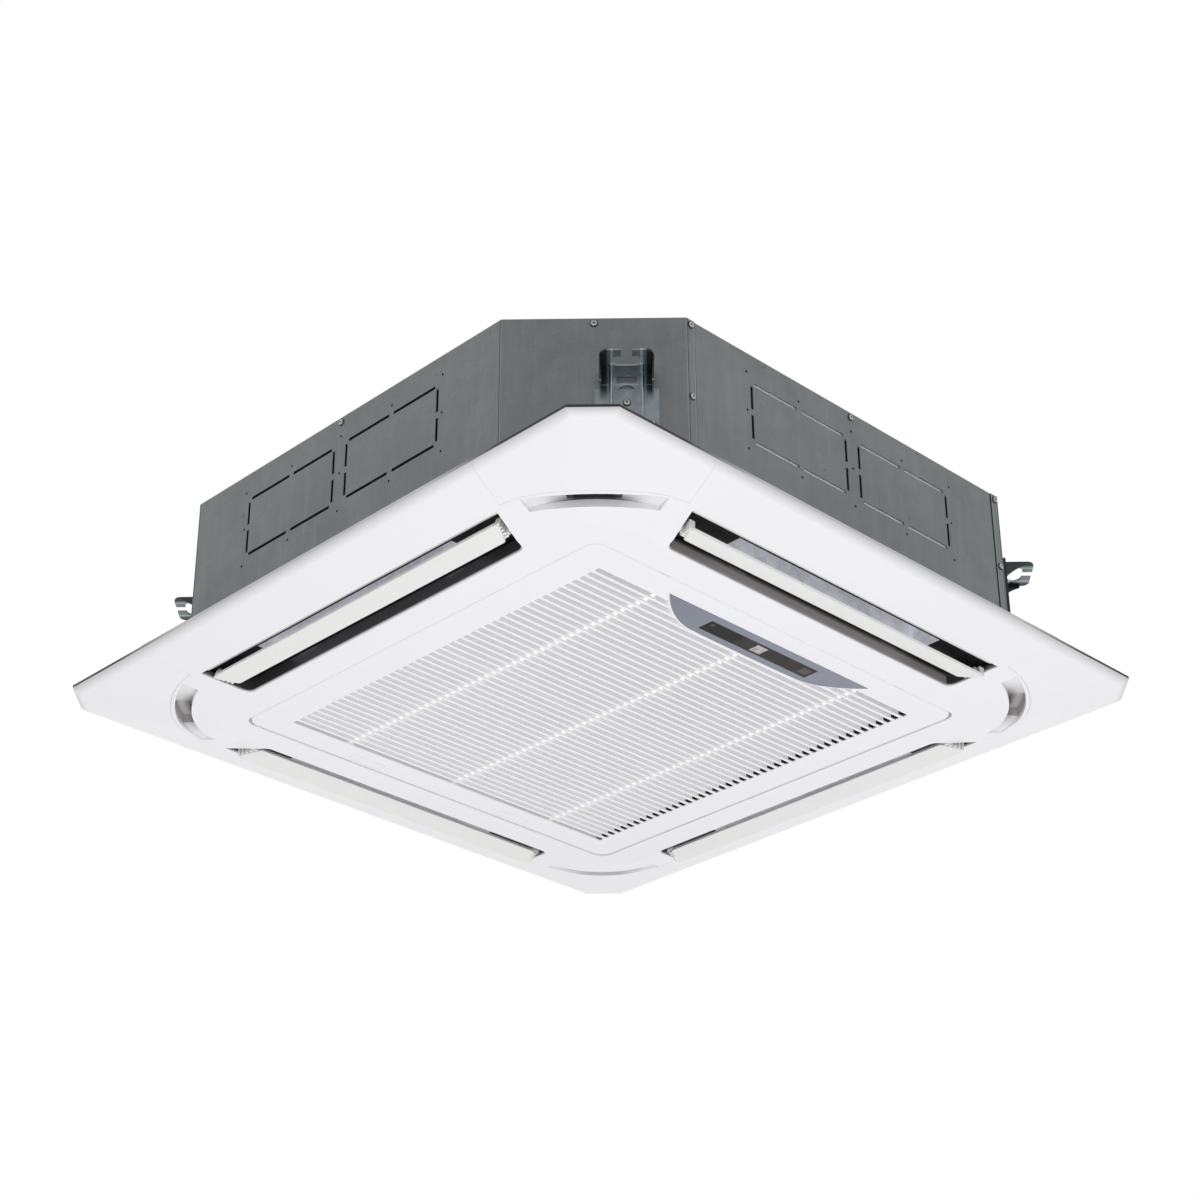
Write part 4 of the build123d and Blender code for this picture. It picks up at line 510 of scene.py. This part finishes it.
# ---- inside the casing: a painted motor, a dark moulded fan, aluminium fins stacked upright, black
# moulded rings and blocks, and a white moulded drain pump with its float.
moulded("motor_paint", (0.07, 0.075, 0.08), 0.4, 700.0, 0.0001, 0.2).dress("fan_motor")
moulded("fan_plastic", (0.055, 0.057, 0.062), 0.5, 500.0, 0.00008).dress("fan_wheel", "fan_shroud")
fins = Surface("coil_fins", (0.62, 0.64, 0.66), 0.4, 0.9)
fins.bump(fins.noise(40.0, 2.0, 0.5, (30.0, 30.0, 0.2)), 0.001)
fins.dress("coil_fins")
ring_black = moulded("ring_plastic", (0.035, 0.035, 0.038), 0.5, 500.0, 0.00008)
ring_black.dress("inlet_ring", "terminal_block", "louvre_motors")
pump_white = moulded("pump_plastic", (0.68, 0.68, 0.66), 0.45, 500.0, 0.00008)
pump_white.dress("drain_pump", "pump_impeller", "float_stem", "float_ring")


# ---- panel's corner covers and latches: white moulded plastic with a fine satin grain. The rim, which
# the covers share with the frame, rounds up to the casing and carries painted shade: grey as it turns
# away, and black near the corners, a painted shadow where its top edge stands under the casing.
panel_half = -cad_box[0][0]
panel_corner = 0.6445
rim_grey_levels, rim_black_levels = (-0.0115, -0.0045), (-0.0040, -0.0034)
rim_black_run = (0.22, 0.34)


def satin_white(name):
    surface = Surface(name, (0.865, 0.865, 0.885), 0.38)
    surface.tint(surface.ramp(surface.noise(3.0, 3.0, 0.5), 0.35, 0.7, 0.0, 0.35), (0.84, 0.838, 0.86))
    surface.roughen(surface.noise(90.0, 3.0), 0.32, 0.46)
    surface.bump(surface.noise(1400.0, 2.0), 0.00002)
    return surface


def shade_rim(surface):
    # Painted shade on the rim's rounding, and a painted shadow along its top edge near the corners.
    level = surface.axis("Z")
    rounded = surface.outside(panel_half - 0.0090, panel_corner - 0.0105)
    surface.tint(surface.both(rounded, surface.ramp(level, *rim_grey_levels, 0.0, 0.7)), (0.50, 0.49, 0.505))
    edge = surface.outside(panel_half - 0.0015, panel_corner - 0.0015)
    edge = surface.both(edge, surface.ramp(surface.along(), *rim_black_run))
    surface.tint(surface.both(edge, surface.ramp(level, *rim_black_levels)), (0.022, 0.018, 0.017))


white = satin_white("panel_plastic")
shade_rim(white)
white.dress("corner_cover_1", "corner_cover_2", "corner_cover_3", "corner_cover_4")
white.dress("latch_left", "latch_right")

# ---- grille: the same plastic. The walls between its slats glow a little, painted light for the light
# that reaches them.
slats_half = 0.2670
slat_lip = (-0.0382, -0.0368)
slatted = satin_white("grille_plastic")
# Painted light: the walls between the slats glow a little.
deep = slatted.ramp(slatted.axis("Z"), *slat_lip, 0.0, 0.17)
slatted.glow(slatted.both(deep, slatted.calc("LESS_THAN", slatted.reach(), slats_half)), (0.98, 0.95, 1.0))
slatted.dress("intake_grille")

# ---- panel's frame: the same plastic, in one moulding. It is flat at the grille and slopes up from
# the outlets to the rim. The outlets' walls are painted near black as painted shade, fading out over
# their rounded lips, and the front outlet's inner wall is painted a lighter grey shade.
face_level = -0.0387
slope_foot, slope_rise = 0.3520, 0.2405
slot_inner, slot_outer, slot_half = 0.3470, 0.4096, 0.2626
slot_shade_fade, front_from = (0.0003, 0.0034), 0.30
grey_wall_width, grey_wall_foot, grey_wall_top = 0.0042, (0.0008, 0.0022), (0.0120, 0.0160)
shell = satin_white("frame_plastic")
side = shell.reach()
slope = shell.both(shell.either(shell.calc("SUBTRACT", side, slope_foot), 0.0), slope_rise)
lift = shell.calc("SUBTRACT", shell.axis("Z"), shell.calc("SUBTRACT", slope, -face_level))
# Painted shade: the outlets' walls near black, fading out over their rounded lips.
in_slot = shell.within(side, slot_inner, slot_outer)
in_slot = shell.both(in_slot, shell.calc("LESS_THAN", shell.along(), slot_half))
shell.tint(shell.both(in_slot, shell.ramp(lift, *slot_shade_fade, 0.0, 0.97)), (0.014, 0.0135, 0.013))
# Painted shade, lighter: the front outlet's inner wall grey.
front = shell.calc("LESS_THAN", shell.axis("Y"), -front_from)
front = shell.both(front, shell.calc("LESS_THAN", shell.span("X"), slot_half))
grey_wall_shade = shell.both(front, shell.within(side, slot_inner, slot_inner + grey_wall_width))
grey_wall_shade = shell.both(grey_wall_shade, shell.ramp(lift, *grey_wall_foot))
grey_wall_shade = shell.both(grey_wall_shade, shell.ramp(lift, *grey_wall_top, 1.0, 0.0))
shell.tint(grey_wall_shade, (0.30, 0.285, 0.27))

# The curved recesses in the frame's corners: each is an arc sunk into the slope, painted grey shade
# all over, deepest at its middle, and painted dark shade along the inner side of its middle, where it
# opens into the panel.
arc_centre, arc_inner, arc_outer = 0.35203, 0.1468, 0.1677
arc_floor, arc_top = -0.0245, -0.0110
frame_half = 0.4115
recess_shade_run, opening_run, opening_radii = (0.030, 0.062), (0.020, 0.052), (0.1500, 0.1610)
# Painted shade in the corner recesses: grey, deepest at the middle, and dark at the opening.
aside = shell.off_diagonal()
out = shell.calc("SUBTRACT", shell.diagonal(), arc_centre)
squares = shell.calc("ADD", shell.calc("POWER", out, 2.0), shell.calc("POWER", aside, 2.0))
arc_radius = shell.calc("SQRT", squares)
recess = shell.within(shell.axis("Z"), arc_floor, arc_top, 0.0001)
recess = shell.both(recess, shell.calc("LESS_THAN", side, frame_half))
recess = shell.both(recess, shell.within(arc_radius, arc_inner, arc_outer, 0.0001))
shell.tint(shell.both(recess, shell.ramp(aside, *recess_shade_run, 0.75, 0.15)), (0.42, 0.40, 0.385))
opening = shell.both(recess, shell.ramp(arc_radius, *opening_radii, 1.0, 0.0))
shell.tint(shell.both(opening, shell.ramp(aside, *opening_run, 1.0, 0.0)), (0.020, 0.019, 0.018))
shade_rim(shell)
shell.dress("panel_frame")

# ---- louvres: cream moulded plastic with a fine blasted grain. One flap stands in each outlet, on a
# hub at either end, which its own small motor turns.
cream = Surface("flap_plastic", (0.815, 0.815, 0.80), 0.6)
blasted = cream.noise(1500.0, 2.0)
cream.tint(cream.ramp(blasted, 0.4, 0.65, 0.0, 0.5), (0.76, 0.757, 0.735))
cream.bump(blasted, 0.00006)
cream.dress("louvre_1", "louvre_2", "louvre_3", "louvre_4")

# ---- filter: a grey moulded frame clipped on the back of the grille, with a net of fine dark threads
# 3 mm apart both ways, which are moulded into the frame's edge.
thread_pitch, thread_width, thread_height = 0.003, 0.0005, 0.00025
moulded("filter_plastic", (0.20, 0.19, 0.185), 0.6, 500.0, 0.0001).dress("filter_frame")
net = moulded("filter_net", (0.085, 0.075, 0.070), 0.7, 900.0, 0.0001)
net.dress("filter_net")
net_low, net_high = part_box("filter_net")
net_span = net_high[0] - net_low[0]
net_level = (net_low[2] + net_high[2]) / 2
threads = []
for turn, layer in ((0.0, -0.5), (math.pi / 2, 0.5)):
    bpy.ops.object.select_all(action="DESELECT")
    bpy.ops.mesh.primitive_cube_add(size=1.0, location=(0, 0, 0))
    thread = bpy.context.object
    thread.scale = (net_span, thread_width, thread_height)
    thread.location = (0, -net_span / 2, 0)
    bpy.ops.object.transform_apply(location=True, rotation=True, scale=True)
    row = thread.modifiers.new("row", "ARRAY")
    row.count = int(net_span / thread_pitch) + 1
    row.use_relative_offset = False
    row.use_constant_offset = True
    row.constant_offset_displace = (0, thread_pitch, 0)
    bpy.ops.object.modifier_apply(modifier=row.name)
    thread.rotation_euler = (0, 0, turn)
    thread.location = (0, 0, net_level + layer * thread_height)
    threads.append(thread)
threads_both_ways = joined(threads, "filter_threads")
threads_both_ways.data.materials.append(net.material)
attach(threads_both_ways, "grille")
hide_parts("filter_net")

# ---- display: a grey moulded bezel in the grille, lighter towards its right end, and a smoked window
# with lamps behind it, its left end painted black as a painted shadow. The middle lamp's lens is clear
# and painted light grey as a painted reflection, and the others are as dark as the window.
lighter_run, darker_run = (-0.14, 0.02), (-0.13, -0.165)
bezel_grey = moulded("bezel_plastic", (0.190, 0.212, 0.262), 0.42, 1200.0, 0.00003)
bezel_grey.tint(bezel_grey.ramp(bezel_grey.axis("X"), *lighter_run, 0.0, 0.7), (0.245, 0.260, 0.315))
bezel_grey.tint(bezel_grey.ramp(bezel_grey.axis("X"), *darker_run, 0.0, 0.8), (0.175, 0.19, 0.25))
bezel_grey.dress("display_bezel")
window_shadow_end = (-0.032, -0.028)
smoke = Surface("window_plastic", (0.022, 0.020, 0.019), 0.3)
smoke.shader.inputs["Specular IOR Level"].default_value = 0.18
smoke.tint(smoke.ramp(smoke.noise(70.0, 3.0), 0.45, 0.65, 0.0, 0.7), (0.040, 0.034, 0.030))
# Painted shadow: the window's left end black.
smoke.tint(smoke.ramp(smoke.axis("X"), *window_shadow_end, 1.0, 0.0), (0.008, 0.008, 0.009))
smoke.roughen(smoke.noise(60.0), 0.25, 0.38)
smoke.dress("display_window")
lit_lamp, lit_lamp_half = 0.004, 0.02
lamp_clear = moulded("lamp_plastic", (0.30, 0.285, 0.275), 0.3, 300.0, 0.0001)
# Painted reflection on the middle lamp's lens; the other lamps are dark like the window.
lamp_clear.tint(lamp_clear.ramp(lamp_clear.noise(160.0, 3.0), 0.35, 0.65), (0.52, 0.50, 0.48))
from_lit = lamp_clear.calc("ABSOLUTE", lamp_clear.calc("SUBTRACT", lamp_clear.axis("X"), lit_lamp))
lamp_clear.tint(lamp_clear.calc("GREATER_THAN", from_lit, lit_lamp_half), (0.050, 0.046, 0.044))
lamp_clear.dress("display_lamps")
